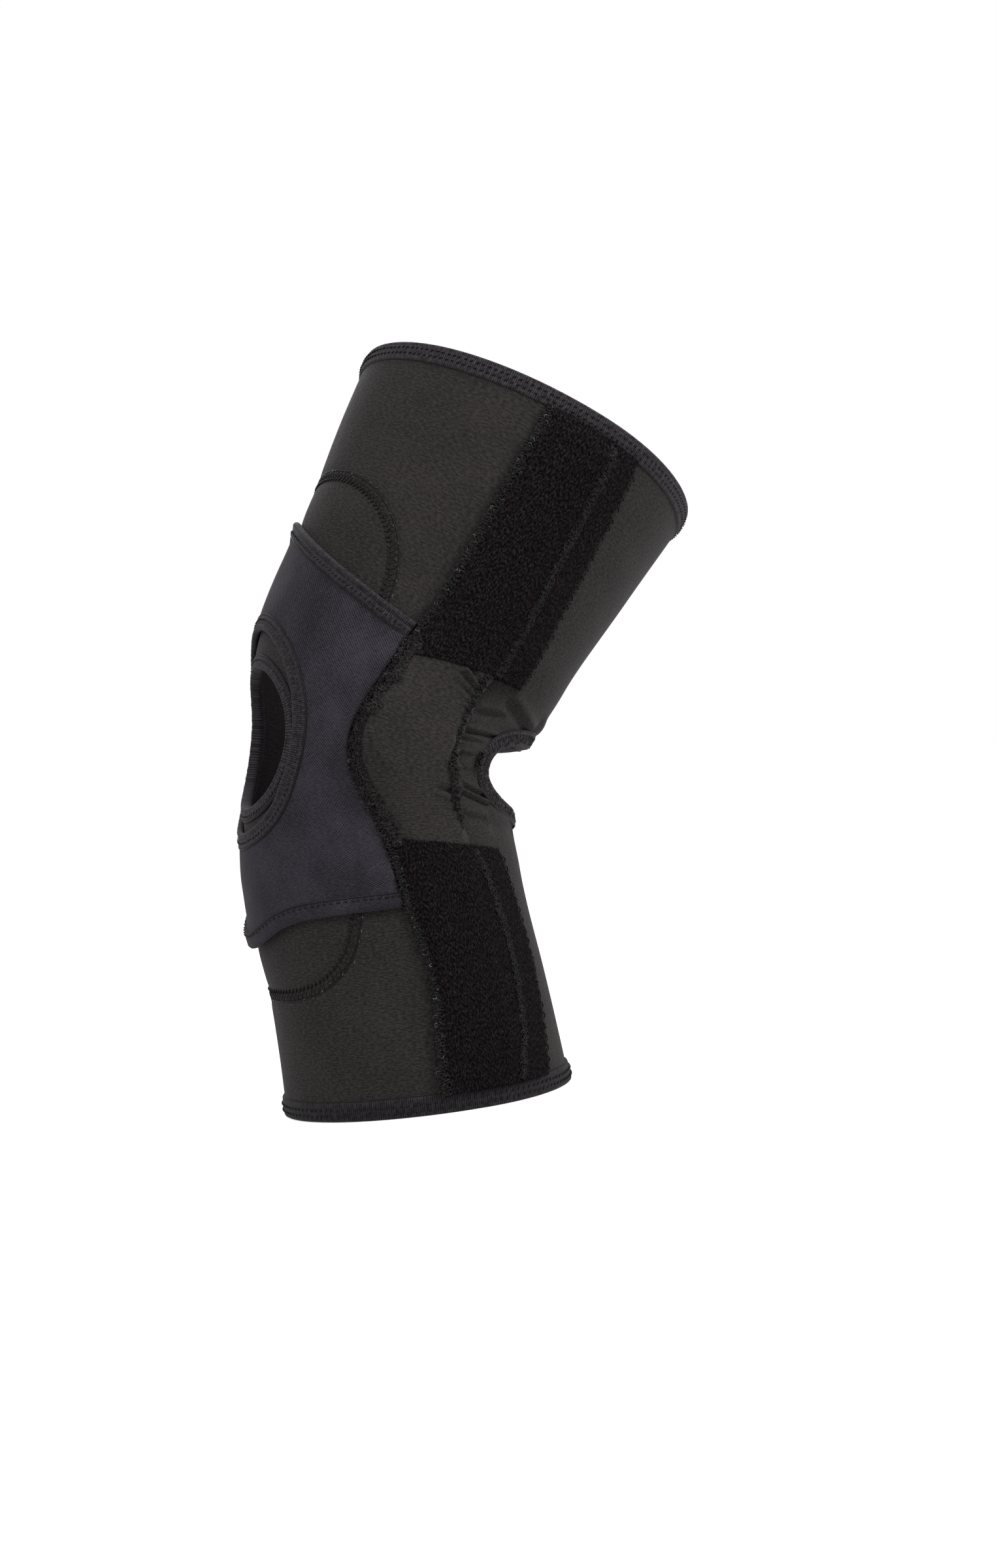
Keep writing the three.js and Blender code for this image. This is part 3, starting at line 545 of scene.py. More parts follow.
class Nodes:
    """A small helper for a material's node tree."""

    def __init__(self, name):
        self.material = bpy.data.materials.new(name)
        self.material.use_nodes = True
        self.tree = self.material.node_tree
        self.shader = self.tree.nodes["Principled BSDF"]

    def fill(self, node, **settings):
        """Set a node's inputs to values, or join them to other nodes' outputs."""
        for key, value in settings.items():
            socket = node.inputs[key.replace("_", " ")]
            if isinstance(value, bpy.types.NodeSocket):
                self.tree.links.new(value, socket)
            else:
                socket.default_value = value
        return node

    def add(self, kind, **settings):
        """A new node. Each setting is a property of the node, or one of its inputs."""
        node = self.tree.nodes.new("ShaderNode" + kind)
        for key in [key for key in settings if hasattr(node, key)]:
            setattr(node, key, settings.pop(key))
        return self.fill(node, **settings)

    def math(self, operation, a, b):
        node = self.add("Math", operation=operation)
        for socket, value in zip(node.inputs, (a, b)):
            if isinstance(value, float):
                socket.default_value = value
            else:
                self.tree.links.new(value, socket)
        return node.outputs[0]

    def mixed(self, *parts):
        """The sum of some factors, each with its own share."""
        total = None
        for value, share in parts:
            part = self.math("MULTIPLY", value, share)
            total = part if total is None else self.math("ADD", total, part)
        return total

    def cloth(self, scale=(1, 1, 1), turn=0.0):
        """The place on the cloth in mm, scaled and turned."""
        place = self.add("Attribute", attribute_name="cloth_mm").outputs["Vector"]
        turned = (0, 0, math.radians(turn))
        return self.add("Mapping", Vector=place, Scale=scale, Rotation=turned).outputs["Vector"]

    def place(self):
        return self.add("TexCoord").outputs["Object"]

    def noise(self, vector, scale, detail=3.0, roughness=0.6):
        node = self.add("TexNoise", Vector=vector, Scale=scale, Detail=detail, Roughness=roughness)
        return node.outputs["Fac"]

    def wave(self, vector, width, direction, distortion, detail_scale):
        """Bands of a width in mm."""
        node = self.add("TexWave", wave_type="BANDS", bands_direction=direction, Vector=vector, Detail=2)
        self.fill(node, Scale=ONE_MM_BANDS / width, Distortion=distortion, Detail_Scale=detail_scale)
        return node.outputs["Fac"]

    def ramp(self, fac, stops):
        node = self.add("ValToRGB", Fac=fac)
        elements = node.color_ramp.elements
        while len(elements) < len(stops):
            elements.new(0.5)
        for element, (at, colour) in zip(elements, stops):
            element.position, element.color = at, (*colour, 1)
        return node.outputs["Color"]

    def finish(self, colour, bumps=(), **settings):
        """Fill in the shader. Each bump is a height, a strength and a distance in mm, over the one before."""
        normal = {}
        for height, strength, distance in bumps:
            node = self.add("Bump", Height=height, Strength=strength, Distance=distance * MM, **normal)
            normal = {"Normal": node.outputs["Normal"]}
        self.fill(self.shader, Base_Color=colour, **settings, **normal)
        return self.material


def shade(colour, amount):
    return tuple(min(c * amount, 1) for c in colour)


def tones(colour, dark, light, spread=0.08):
    """Ramp stops from a darker to a lighter shade of a colour."""
    return [(0.5 - spread, shade(colour, dark)), (0.5, colour), (0.5 + spread, shade(colour, light))]


def shine(sheen, sheen_rough, specular):
    return {"Sheen_Weight": sheen, "Sheen_Roughness": sheen_rough, "Specular_IOR_Level": specular}


def jersey(name, colour, sheen):
    """Jersey-faced neoprene: fine ribs, a faint heather and a soft nap."""
    n = Nodes(name)
    flat = n.cloth()
    ribs = n.wave(flat, 0.65, "Y", 1.2, 1.5)
    patch, speck = n.noise(flat, 0.035, 4), n.noise(n.cloth((1, 2.2, 1)), 0.6, 4)
    slub = n.noise(n.cloth((0.25, 3, 1)), 1.2, 2)
    heather = n.mixed((patch, 0.15), (speck, 0.65), (ribs, 0.1), (slub, 0.1))
    tone = n.ramp(heather, tones(colour, 0.45, 1.75))
    grain = n.noise(n.cloth((1, 1.6, 1)), 2.4, 2)
    rough = n.math("ADD", n.math("MULTIPLY", grain, 0.2), 0.72)
    bumps = [(n.noise(flat, 0.12, 3), 0.35, 1.0), (ribs, 0.35, 0.12), (grain, 0.5, 0.12)]
    return n.finish(tone, bumps, Roughness=rough, **shine(sheen, 0.5, 0.08))


def twill(name, colour):
    """Stretch twill: fine diagonal ribs with a blue cast."""
    n = Nodes(name)
    flat = n.cloth()
    diagonal = n.wave(n.cloth(turn=38), 0.8, "Y", 0.8, 1.5)
    cross = n.wave(n.cloth(turn=-45), 0.9, "Y", 0.5, 2.0)
    speck = n.noise(n.cloth((1, 2.5, 1), 38), 0.6, 4)
    heather = n.mixed((n.noise(flat, 0.04, 4), 0.35), (speck, 0.4), (diagonal, 0.15), (cross, 0.1))
    tone = n.ramp(heather, tones(colour, 0.4, 1.9))
    bumps = [(n.noise(flat, 0.1, 3), 0.3, 1.0), (diagonal, 0.5, 0.16), (cross, 0.3, 0.1)]
    bumps.append((n.noise(flat, 2.2, 2), 0.4, 0.12))
    return n.finish(tone, bumps, Roughness=0.85, **shine(0.02, 0.5, 0.08))


def tape(name, colour, rib=0.9):
    """Ribbed knit tape. Its cloth place is along the tape, then across it."""
    n = Nodes(name)
    ribs = n.wave(n.cloth(), rib, "X", 1.0, 1.0)
    mottle = n.noise(n.cloth((1, 0.5, 1)), 0.9, 3)
    both_ways = n.mixed((mottle, 0.8), (ribs, 0.2))
    tone = n.ramp(both_ways, tones(colour, 0.35, 2.3, 0.09))
    bumps = [(ribs, 0.7, 0.22), (mottle, 0.6, 0.25)]
    return n.finish(tone, bumps, Roughness=0.78, **shine(0.025, 0.45, 0.1))


def pile(name, colour):
    """Brushed loop pile: short, dark and directional."""
    n = Nodes(name)
    streak = n.noise(n.cloth((2.2, 0.9, 1), 25), 0.8, 4, 0.7)
    nap = n.mixed((streak, 0.92), (n.noise(n.cloth(), 0.22, 3), 0.08))
    tone = n.ramp(nap, tones(colour, 0.2, 3.7))
    return n.finish(tone, [(streak, 1.0, 0.5)], Roughness=0.95, **shine(0.005, 0.6, 0.015))


def thread(name, colour, rough=0.6):
    """Polyester thread with uneven tone."""
    n = Nodes(name)
    mottle = n.noise(n.place(), 900, 2)
    tone = n.ramp(mottle, tones(colour, 0.35, 1.9, 0.12))
    return n.finish(tone, Specular_IOR_Level=0.12, Roughness=rough)


def steel(name, colour, rough, stretch):
    """Brushed metal with its brush marks along one way and dulled patches."""
    n = Nodes(name)
    place = n.place()
    brush = n.noise(n.add("Mapping", Vector=place, Scale=stretch).outputs["Vector"], 300, 4)
    tone = n.ramp(n.noise(place, 60, 3), [(0.3, shade(colour, 0.8)), (0.6, colour)])
    roughness = n.math("ADD", n.math("MULTIPLY", brush, 0.2), rough)
    return n.finish(tone, [(brush, 0.15, 0.05)], Roughness=roughness, Metallic=1.0)


def nylon(name, colour):
    n = Nodes(name)
    place = n.place()
    tone = n.ramp(n.noise(place, 200, 3), [(0.3, shade(colour, 0.9)), (0.7, colour)])
    return n.finish(tone, [(n.noise(place, 900, 2), 0.1, 0.05)], Roughness=0.5, Subsurface_Weight=0.05)


# Linear colours
CHARCOAL = (0.0104, 0.0086, 0.0086)
NAVY = (0.0114, 0.0097, 0.0132)
TAPE_DARK = (0.0112, 0.0094, 0.0112)
PILE_DARK = (0.0034, 0.0026, 0.0029)

M = {}
for name, make, *settings in (
    ("thigh_jersey", jersey, CHARCOAL, 0.02),
    ("inset_jersey", jersey, shade(CHARCOAL, 0.97), 0.02),
    ("cover_jersey", jersey, CHARCOAL, 0.025),
    ("overlay_twill", twill, NAVY),
    ("knit_tape", tape, TAPE_DARK),
    ("hole_tape", tape, shade(TAPE_DARK, 0.85), 1.3),
    ("overlay_tape", tape, shade(TAPE_DARK, 0.78)),
    # The bottom rim's tape is the rim tape darkened: painted shade, against the light the glowing floor
    # throws on it
    ("bottom_tape", tape, shade(TAPE_DARK, 0.55)),
    ("loop_pile", pile, PILE_DARK),
    # Near-black: the dark stitches' colour, also given to the cords and the strip of painted shade along tape
    # edges, hollows and seams
    ("dark_thread", thread, (0.0022, 0.0018, 0.002)),
    ("glint_thread", thread, (0.06, 0.055, 0.056), 0.35),
    ("overlock", thread, (0.0098, 0.0086, 0.0092), 0.75),
    ("overlock_dark", thread, (0.0058, 0.0049, 0.0053), 0.8),
    ("ridge_fuzz", thread, (0.0078, 0.0069, 0.0075), 0.85),
    ("bar_steel", steel, (0.50, 0.51, 0.53), 0.25, (1, 1, 0.05)),
    ("plate_steel", steel, (0.45, 0.46, 0.48), 0.3, (1, 0.05, 1)),
    ("rivet_steel", steel, (0.62, 0.63, 0.65), 0.12, (1, 1, 1)),
    ("bush_nylon", nylon, (0.75, 0.73, 0.66)),
):
    M[name] = make(name, *settings)


def piece(name, geom, material, body=None, nodes=()):
    """A piece of the visual model, riding on one body, or with its transform baked into its mesh when it has
    none.
    """
    mesh = bpy.data.meshes.new(name)
    mesh.from_pydata(geom.verts * MM, [], [*geom.quads.tolist(), *geom.tris.tolist()])
    mesh.validate()
    mesh.polygons.foreach_set("use_smooth", np.ones(len(mesh.polygons), bool))
    place = mesh.attributes.new("cloth_mm", "FLOAT_VECTOR", "POINT")
    place.data.foreach_set("vector", geom.cloth.ravel())
    mesh.materials.append(M[material])
    made = bpy.data.objects.new(name, mesh)
    bpy.context.collection.objects.link(made)
    if body:
        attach(made, body)
    else:
        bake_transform(made)
    if nodes:
        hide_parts(*nodes)
    return made


def pieces(name, geom, material, body=None, nodes=()):
    """The lateral piece and its medial mirror image."""
    return [
        piece(f"{side}_{name}", shape, material, body, [f"{side}_{node}" for node in nodes])
        for side, shape in (("lateral", geom), ("medial", geom.mirrored()))
    ]



def between(a, b, t):
    return a * (1 - t) + b * t


def shares(rows, columns):
    """How far up and how far across a grid each of its points is, from 0 to 1."""
    return np.broadcast_arrays(np.linspace(0, 1, rows)[:, None], np.linspace(0, 1, columns)[None, :])


def cloth_grid(rows, columns, foot, head, first, last, start=None, rounds=8):
    """Heights and angles over a patch of cloth. Its foot and head are heights at given angles, its first and
    last sides are angles at given heights, worked out in turn in some rounds that begin at start."""
    v, u = shares(rows, columns)
    s = between(*(start or (foot(90.0), head(90.0))), v)
    for _ in range(rounds):
        phi = between(first(s), last(s), u)
        s = between(foot(phi), head(phi), v)
    return s, phi


def cut_sheet(made, s, phi, off, keep=True, rests_on=()):
    """Takes a sheet of cloth and does nothing with it, beyond spreading keep over the grid's cells."""
    keep = np.broadcast_to(keep, (s.shape[0] - 1, s.shape[1] - 1))


# ---- Sleeve ----
# How far the panels stop short of the rims, inside the folded tape
RIM_MARGIN = 3.0


def sleeve_grid(rows, columns, first, last):
    """Over the whole height of the sleeve, between two angles given by functions of the height."""
    ends = (lambda p: RIM_MARGIN + 0 * p, lambda p: rim_height(p, RIM_MARGIN))
    return cloth_grid(rows, columns, *ends, first, last, (RIM_MARGIN, RIM_HEIGHT - RIM_MARGIN), rounds=4)


def cell_middle(values):
    return (values[1:, 1:] + values[1:, :-1] + values[:-1, 1:] + values[:-1, :-1]) / 4


def within(oval, grow, s, phi):
    """Which cells of a grid lie in an opening, grown by some mm in height and degrees in angle."""
    middle, angle, rise, reach = oval
    return oval_share((middle, angle, rise + grow, reach + grow), cell_middle(s), cell_middle(phi)) < 1


def panel(name, grid, keep, material, nodes):
    """A panel of the neoprene sleeve, made of the grid's cells in keep."""
    cloth = shell(*grid, 0, -NEOPRENE, keep)
    cut_sheet(piece(name, cloth, material, nodes=nodes), *grid, 0, keep)


front_grid = sleeve_grid(200, 150, lambda h: -edge_angle(h), edge_angle)
in_inset = inset_share(*map(cell_middle, front_grid)) < 1
front_nodes = ["thigh_front_panel", "calf_front_panel", "lateral_knee_panel", "medial_knee_panel"]
panel("front_panel", front_grid, ~in_inset, "thigh_jersey", front_nodes)
inset_nodes = ["patella_inset", "patella_inset_upper", "patella_inset_lower"]
panel("knee_inset", front_grid, in_inset & ~within(PATELLA, 2, *front_grid), "inset_jersey", inset_nodes)
rear_grid = sleeve_grid(270, 260, edge_angle, lambda h: 360 - edge_angle(h))
rear_nodes = ["thigh_rear_panel", "calf_rear_panel", "knee_rear_panel"]
panel("rear_panel", rear_grid, ~within(POPLITEAL, 3, *rear_grid), "thigh_jersey", rear_nodes)


# ---- Bindings ----
def wrapped_profile(width, thick_in, out):
    """A tape folded over an edge. The edge is at +width/2 across, and the path is the tape's middle."""
    half = width / 2
    outer = [(-half, 0.1), (-half + 0.3, out * 0.85), (-half + 1.2, out), (0, out), (half - 2.2, out * 0.98)]
    outer += [(half - 1.7, out * 0.8), (half - 1.2, out * 1.05), (half - 0.6, out * 0.9)]
    turn = [(half - 0.25, out * 0.35), (half, -0.7)]
    turn += [(half, thick_in + 0.7), (half - 0.25, thick_in - out * 0.35)]
    inner = [(half - 1.0, thick_in - out * 0.9), (0, thick_in - out)]
    return outer + turn + inner + [(-half + 0.8, thick_in - out), (-half, thick_in)]


# The section of the near-black cords that paint shade along tape edges, hollows and seams
SHADE_CORD_RADIUS = 0.24
LINE = [(SHADE_CORD_RADIUS * math.cos(a), SHADE_CORD_RADIUS * math.sin(a)) for a in np.arange(6) * math.pi / 3]


def shade_line(path, across, up, size=1.0):
    """A thin near-black cord along a path, for painted shade at tape edges, hollows in tape profiles and seam
    edges.
    """
    return sweep(path, [(across + size * x, up + size * y) for x, y in LINE], 1.0)


# Dark stitches made into one piece, together with the near-black cords of painted shade that every call adds
def stitching_and_shade(name, *rows, body=None):
    piece(f"{name}_stitching", join(*rows), "dark_thread", body)


# Where each rim's near-black cord of painted shade runs: just outside its tape's turned edge
RIM_LIP_SHADE = -RIM_TAPE / 2 - 0.1
around = np.linspace(0, 360, 361)
top_tape = Path(rim_height(around, RIM_TAPE / 2), around, closed=True, on=bare)
bottom_tape = Path(np.full(361, RIM_TAPE / 2), around, closed=True, on=bare)
profile = wrapped_profile(RIM_TAPE, -NEOPRENE, TAPE_OUT)
upside_down = [(-a, b) for a, b in reversed(profile)]
shape = sweep(top_tape, profile, 1.2, 0.03)
piece("top_rim_binding", shape, "knit_tape", "thigh", ["top_binding"])
# The bottom rim's tape takes its darker material: painted shade
shape = sweep(bottom_tape, upside_down, 1.2, 0.03)
piece("bottom_rim_binding", shape, "bottom_tape", "shin", ["bottom_binding"])
rims = (("top", top_tape, "thigh", RIM_LIP_SHADE), ("bottom", bottom_tape, "shin", -RIM_LIP_SHADE))
for name, path, body, lip_shade in rims:
    rows = [stitches(path, a, 2.8, 1.5, 0.36, TAPE_OUT, 0.45) for a in (-1.5, 1.1)]
    stitching_and_shade(f"{name}_rim", *rows, shade_line(path, lip_shade, 0.1), body=body)


def oval_path(oval, grow, off=0.0):
    middle, angle, rise, reach = oval
    t = np.linspace(0, 2 * math.pi, 241)
    return Path(middle + (rise + grow) * np.sin(t), angle + (reach + grow) * np.cos(t), off, closed=True)


def hole_binding(name, oval, width, node):
    """A tape folded over the edge of an opening, with stitches near its outer edge and two near-black cords
    of
    painted shade: one just outside that edge, one between its rolled edge and its stitched middle.
    """
    path = oval_path(oval, width / 2)
    shape = sweep(path, wrapped_profile(width, -NEOPRENE, TAPE_OUT), 1.0, 0.07)
    piece(name, shape, "hole_tape", nodes=[node])
    row = stitches(path, -width / 2 + 1.9, 2.4, 1.3, 0.28, TAPE_OUT * 0.8, 0.3)
    lip_shade = shade_line(path, -width / 2 - 0.2, 0.35, 1.8)
    stitching_and_shade(name, lip_shade, shade_line(path, -width / 2 + 1.3, TAPE_OUT, 1.0), row)


hole_binding("patella_opening_binding", PATELLA, PATELLA_TAPE, "patella_binding")
hole_binding("popliteal_opening_binding", POPLITEAL, POPLITEAL_TAPE, "popliteal_binding")
path = oval_path(POPLITEAL, POPLITEAL_TAPE / 2, TAPE_OUT - 0.1)
piece("popliteal_opening_fuzz", curls(path, 1.9, 0.5, 0.15, 0.6, 0.35), "overlock")


# ---- Knee cap inset seam ----
t = np.radians(np.linspace(0, 360, 361))
power, reach = inset_form(np.sin(t) > 0)
bulge = (np.abs(np.cos(t)) ** power + np.abs(np.sin(t)) ** power) ** (-1 / power)
seam = Path(INSET_MIDDLE + reach * bulge * np.sin(t), INSET_ANGLE * bulge * np.cos(t), closed=True)
strip = [(-2.2, -0.4), (-2.0, 0.25), (-1.1, 0.42), (0, 0.46), (1.0, 0.34), (1.5, 0.05), (1.7, -0.4)]
piece("inset_seam_tape", sweep(seam, strip, 1.1, 0.03), "thigh_jersey")
# The near-black cord along one edge of the seam is painted shade, beside the raised inset; the two rows after
# it are thread.
lip_shade = shade_line(seam, -2.3, 0.3, 1.5)
rows = [stitches(seam, 2.1, 2.4, 1.1, 0.42, 0.3, 0.8), zigzag(seam, -1.7, 1.2, 1.25, 0.19, 0.35)]
stitching_and_shade("inset_seam", lip_shade, *rows)
piece("inset_seam_zigzag", zigzag(seam, -1.5, 1.4, 1.25, 0.15, 0.45), "overlock")
piece("inset_seam_glints", stitches(seam, -2.4, 6.1, 1.3, 0.13, 0.5, 0.2, 1.2), "glint_thread")


# ---- Stretch overlay over the knee cap ----
OVERLAY_OFF, OVERLAY_THICK = 0.5, 1.5


def overlay_lift(s, phi):
    """The overlay stands off a little at its free edges, and rolls in slow waves."""
    near_top = smooth((s - overlay_top(phi) + 12) / 12)
    near_bottom = smooth((overlay_bottom(phi) + 12 - s) / 12)
    fade = smooth((overlay_side(s) - np.abs(phi)) / 10)
    wave = 0.3 * np.sin(s / 9 + phi / 7) + 0.25 * np.sin(s / 5.3 - phi / 11)
    front = np.exp(-((phi / 26) ** 2))
    return fade * (0.35 + 0.5 * near_top + (0.5 + 1.6 * front) * near_bottom + 0.35 * wave)


ends = (lambda p: overlay_bottom(p) + 3, lambda p: overlay_top(p) - 2)
s, phi = cloth_grid(104, 130, *ends, lambda h: -overlay_side(h), overlay_side, (90.0, 200.0))
low = OVERLAY_OFF + overlay_lift(s, phi)
keep = ~within(OVERLAY_HOLE, 3, s, phi)
cloth = shell(s, phi, low + OVERLAY_THICK, low, keep)
overlay = piece("knee_overlay", cloth, "overlay_twill", nodes=["overlay_panel"])
cut_sheet(overlay, s, phi, low, keep, ["front_panel", "knee_inset"])


def overlay_path(line, inwards):
    """A path along the overlay's top or bottom edge, from the medial to the lateral side."""
    u = np.linspace(-1, 1, 141)
    s = np.full_like(u, 150)
    for _ in range(12):
        phi = overlay_side(s) * u
        s = line(phi) + inwards
    return Path(s, phi, OVERLAY_OFF + overlay_lift(s, phi))


# From the overlay's cloth outwards: a turned lip, the stitched flat, a groove and the rolled free edge
tape_profile = [(-3.5, -0.2), (-3.4, 1.6), (-2.9, 2.0), (-1.6, 2.1), (0.1, 2.0), (0.6, 1.7), (1.1, 2.1)]
tape_profile += [(1.8, 2.45), (2.6, 2.35), (3.2, 1.8), (3.45, 1.0), (3.3, 0.2), (2.6, -0.25), (0, -0.3)]
top_edge = overlay_path(overlay_top, -OVERLAY_TAPE / 2)
shape = sweep(top_edge, tape_profile, 0.9, 0.03)
piece("overlay_top_edge", shape, "overlay_tape", nodes=["overlay_top_binding"])
# Both near-black cords are painted shade: one outside the tape's turned edge, one in the hollow of its
# profile.
rows = [shade_line(top_edge, -3.6, 1.75, 1.3), shade_line(top_edge, 0.6, 1.62)]
stitching_and_shade("overlay_top", *rows, stitches(top_edge, -1.2, 2.3, 1.2, 0.26, 2.05, 0.5))
hem_profile = [(-3.5, 0.0), (-3.4, 0.9), (-2.6, 1.6), (0, 1.85), (2.2, 1.75), (2.9, 1.35)]
hem_profile += [(3.4, 1.6), (3.5, 0.2)]
bottom_edge = overlay_path(overlay_bottom, OVERLAY_TAPE / 2)
shape = sweep(bottom_edge, hem_profile, 0.9, 0.03)
piece("overlay_hem", shape, "overlay_twill", nodes=["overlay_bottom_hem"])
# The near-black cord is painted shade, in the hollow by the hem's rolled edge.
lip_shade = shade_line(bottom_edge, 3.0, 1.35, 1.5)
stitching_and_shade("overlay_hem", lip_shade, stitches(bottom_edge, 1.9, 2.8, 1.7, 0.34, 1.75))
flat_edge = oval_path(OVERLAY_HOLE, OVERLAY_TAPE / 2)
lift = OVERLAY_OFF + overlay_lift(flat_edge.s, flat_edge.phi)
hole_edge = Path(flat_edge.s, flat_edge.phi, lift, closed=True)
shape = sweep(hole_edge, tape_profile, 0.9, 0.04)
piece("overlay_opening_binding", shape, "overlay_tape", nodes=["overlay_hole_binding"])
# The near-black cord is painted shade, outside the tape's turned edge.
lip_shade = shade_line(hole_edge, -3.6, 1.75, 1.3)
stitching_and_shade("overlay_opening", lip_shade, stitches(hole_edge, -1.2, 2.3, 1.3, 0.26, 2.05, 0.3))


# ---- Hinge pocket ----
COVER_THICK = 1.3
COVER_FOLDS = [
    (186, 108, 192, 98, 1.0, 1.5), (182.5, 108, 188, 96, 1.0, 1.5),
    (179, 108, 182.5, 100, 0.9, 1.2), (175.5, 108, 178, 103, 0.8, 0.8),
    (132.5, 108, 134, 99, 1.1, 1.5), (129, 108, 129.5, 103, 0.9, 0.8),
    (124, 108, 125, 103, 0.9, 0.7),
]


def cover_lift(s, phi):
    """The cover's inner face: draped over the hinge and sewn down at its front and rear."""
    rear = smooth((COVER_REAR - phi) * MM_PER_DEGREE / 3)
    near_seam = smooth((COVER_REAR - phi) * MM_PER_DEGREE / 6)
    pull = near_seam * (1 - near_seam) * 1.6 * (np.sin(s * 0.9) + 0.6 * np.sin(s * 0.43 + 2))
    up = 0.15 + drape(s, phi) + 0.3 * pull
    for crease in COVER_FOLDS:
        up = up + rear * fold(s, phi, *crease)
    return up


ends = (lambda p: calf_head(p) - 2.5, lambda p: thigh_foot(p) + 2.5)
sides = (lambda h: edge_angle(h) + 1.0, lambda h: COVER_REAR + 0 * h)
s, phi = cloth_grid(84, 56, *ends, *sides, (118.0, 184.0), rounds=6)
low = cover_lift(s, phi)
cover = shell(s, phi, low + COVER_THICK, low)
for made in pieces("pocket_cover", cover, "cover_jersey", nodes=["hinge_cover"]):
    cut_sheet(made, s, phi, low, True, ["front_panel", "rear_panel"])


def on_cover(heights, angles):
    """A path on the pocket cloth's outer face."""
    return Path(heights, angles, cover_lift(heights, angles) + COVER_THICK)


rear_seam = on_cover(np.linspace(116, 194, 90), np.full(90, COVER_REAR - 3.3))
rows = [zigzag(rear_seam, -1.7, 1.7, 1.9, 0.18, 0.35, 0.35), curls(rear_seam, 1.3, 0.8, 0.18, 0.7, 0.7)]
pieces("pocket_rear_seam", join(*rows), "overlock")
# The near-black strip along the seam is painted shade for the seam's sunken line; the zigzag and curls over
# it are dark thread.
groove_shade = [(-0.9, -1.0), (-0.8, 0.0), (-0.3, 0.25), (0.3, 0.25), (0.8, 0.0), (0.9, -1.0)]
rows = [sweep(rear_seam, groove_shade, 0.7, 0.1), zigzag(rear_seam, -2.1, 1.9, 2.4, 0.4, 0.15, 0.4)]
rows.append(curls(rear_seam, 1.6, 1.5, 0.26, 0.8, 0.7))
pieces("pocket_rear_seam_groove", join(*rows), "dark_thread")


# ---- Loop pile strips ----
# The slab's thickness, and how high in it the pile along its edges starts
LOOP_THICK, PILE_ROOT = 1.5, 0.9


def loop_strip(name, grid, free_edge, ridge):
    """A strip of pile: a rough slab, spikes over it, and more along its sides and its free edge."""
    s, phi = grid
    rows, columns = s.shape
    low = 0.1 + drape(s, phi)
    u = shares(rows, columns)[1]
    crown = 0.3 * smooth(np.minimum(u, 1 - u) * 14) - 0.25
    lump = ridge * np.exp(-(((1 - u) / 0.09) ** 2))
    top = low + LOOP_THICK + crown + lump + rng.normal(size=s.shape) * 0.13
    slab = shell(s, phi, top, low)
    where = rng.uniform(0, 1, (2, int(rows * columns * 1.5)))
    i, j = where[0] * (rows - 1.001), where[1] * (columns - 1.001)
    spots = [on_grid(values, i, j) for values in (s, phi, top)]
    hairs = [tufts(*spots, 0.75, 0.16, (-0.5, 0.35))]
    root = low + PILE_ROOT
    for column, way in ((0, 0.9), (-1, -0.9)):
        k = rng.integers(0, rows, rows * 4)
        at = s[k, column] + rng.normal(size=len(k)) * 0.35
        hairs.append(tufts(at, phi[k, column], root[k, column], 0.9, 0.17, (-0.3, way * 1.2)))
    row, way = free_edge
    k = rng.integers(0, columns, columns * 5)
    hairs.append(tufts(s[row, k], phi[row, k], root[row, k], 1.0, 0.17, (way * 1.2, 0.1)))
    node = name.replace("_strip", "").replace("_trim", "_edge")
    pieces(name, join(slab, *hairs), "loop_pile", nodes=[node])


def beside(line, by):
    """A line moved round the leg by some degrees."""
    return lambda h: line(h) + by


# How far a strip's end reaches under the rim's tape
TUCK = 0.6
THIGH_ENDS = (thigh_foot, lambda p: rim_height(p, RIM_TAPE - TUCK))
CALF_ENDS = (lambda p: RIM_TAPE - TUCK + 0 * p, calf_head)
strip_front = beside(edge_angle, 0.6)
for name, size, ends, sides, free_edge, ridge in (
    ("thigh_loop_strip", (110, 38), THIGH_ENDS, (strip_front, beside(thigh_seam, -0.2)), (0, -1), 0.35),
    ("thigh_loop_trim", (100, 14), THIGH_ENDS, (beside(thigh_seam, 0.3), thigh_rear), (0, -1), 0.0),
    ("calf_loop_strip", (100, 38), CALF_ENDS, (strip_front, beside(calf_seam, -0.2)), (-1, 1), 0.3),
    ("calf_loop_trim", (92, 18), CALF_ENDS, (beside(calf_seam, 0.3), calf_rear), (-1, 1), 0.0),
):
    loop_strip(name, cloth_grid(*size, *ends, *sides), free_edge, ridge)


def on_strip(way, low, high, lift):
    heights = np.linspace(low, high, 90)
    return Path(heights, way(heights), drape(heights, way(heights)) + lift)


def seam_fuzz(name, ridge, far_edge):
    """The brushed ridge on the seam between two strips, and the stitches over the narrow one's far edge."""
    path = on_strip(*ridge, LOOP_THICK + 0.3)
    pieces(f"{name}_ridge", curls(path, 1.25, 0.15, 0.17, 0.7, 0.7), "ridge_fuzz")
    path = on_strip(*far_edge, 1.2)
    rows = [zigzag(path, -2.6, 0.9, 2.3, 0.45, -0.4, 0.35), curls(path, 0.9, 0.9, 0.2, 0.7, 0.5)]
    pieces(f"{name}_far_edge", join(*rows), "dark_thread")


seam_fuzz("thigh_loop", (thigh_seam, 196, 302), (thigh_rear, 201, 302))
seam_fuzz("calf_loop", (calf_seam, RIM_TAPE + 1, 106), (calf_rear, RIM_TAPE + 1, 102.5))

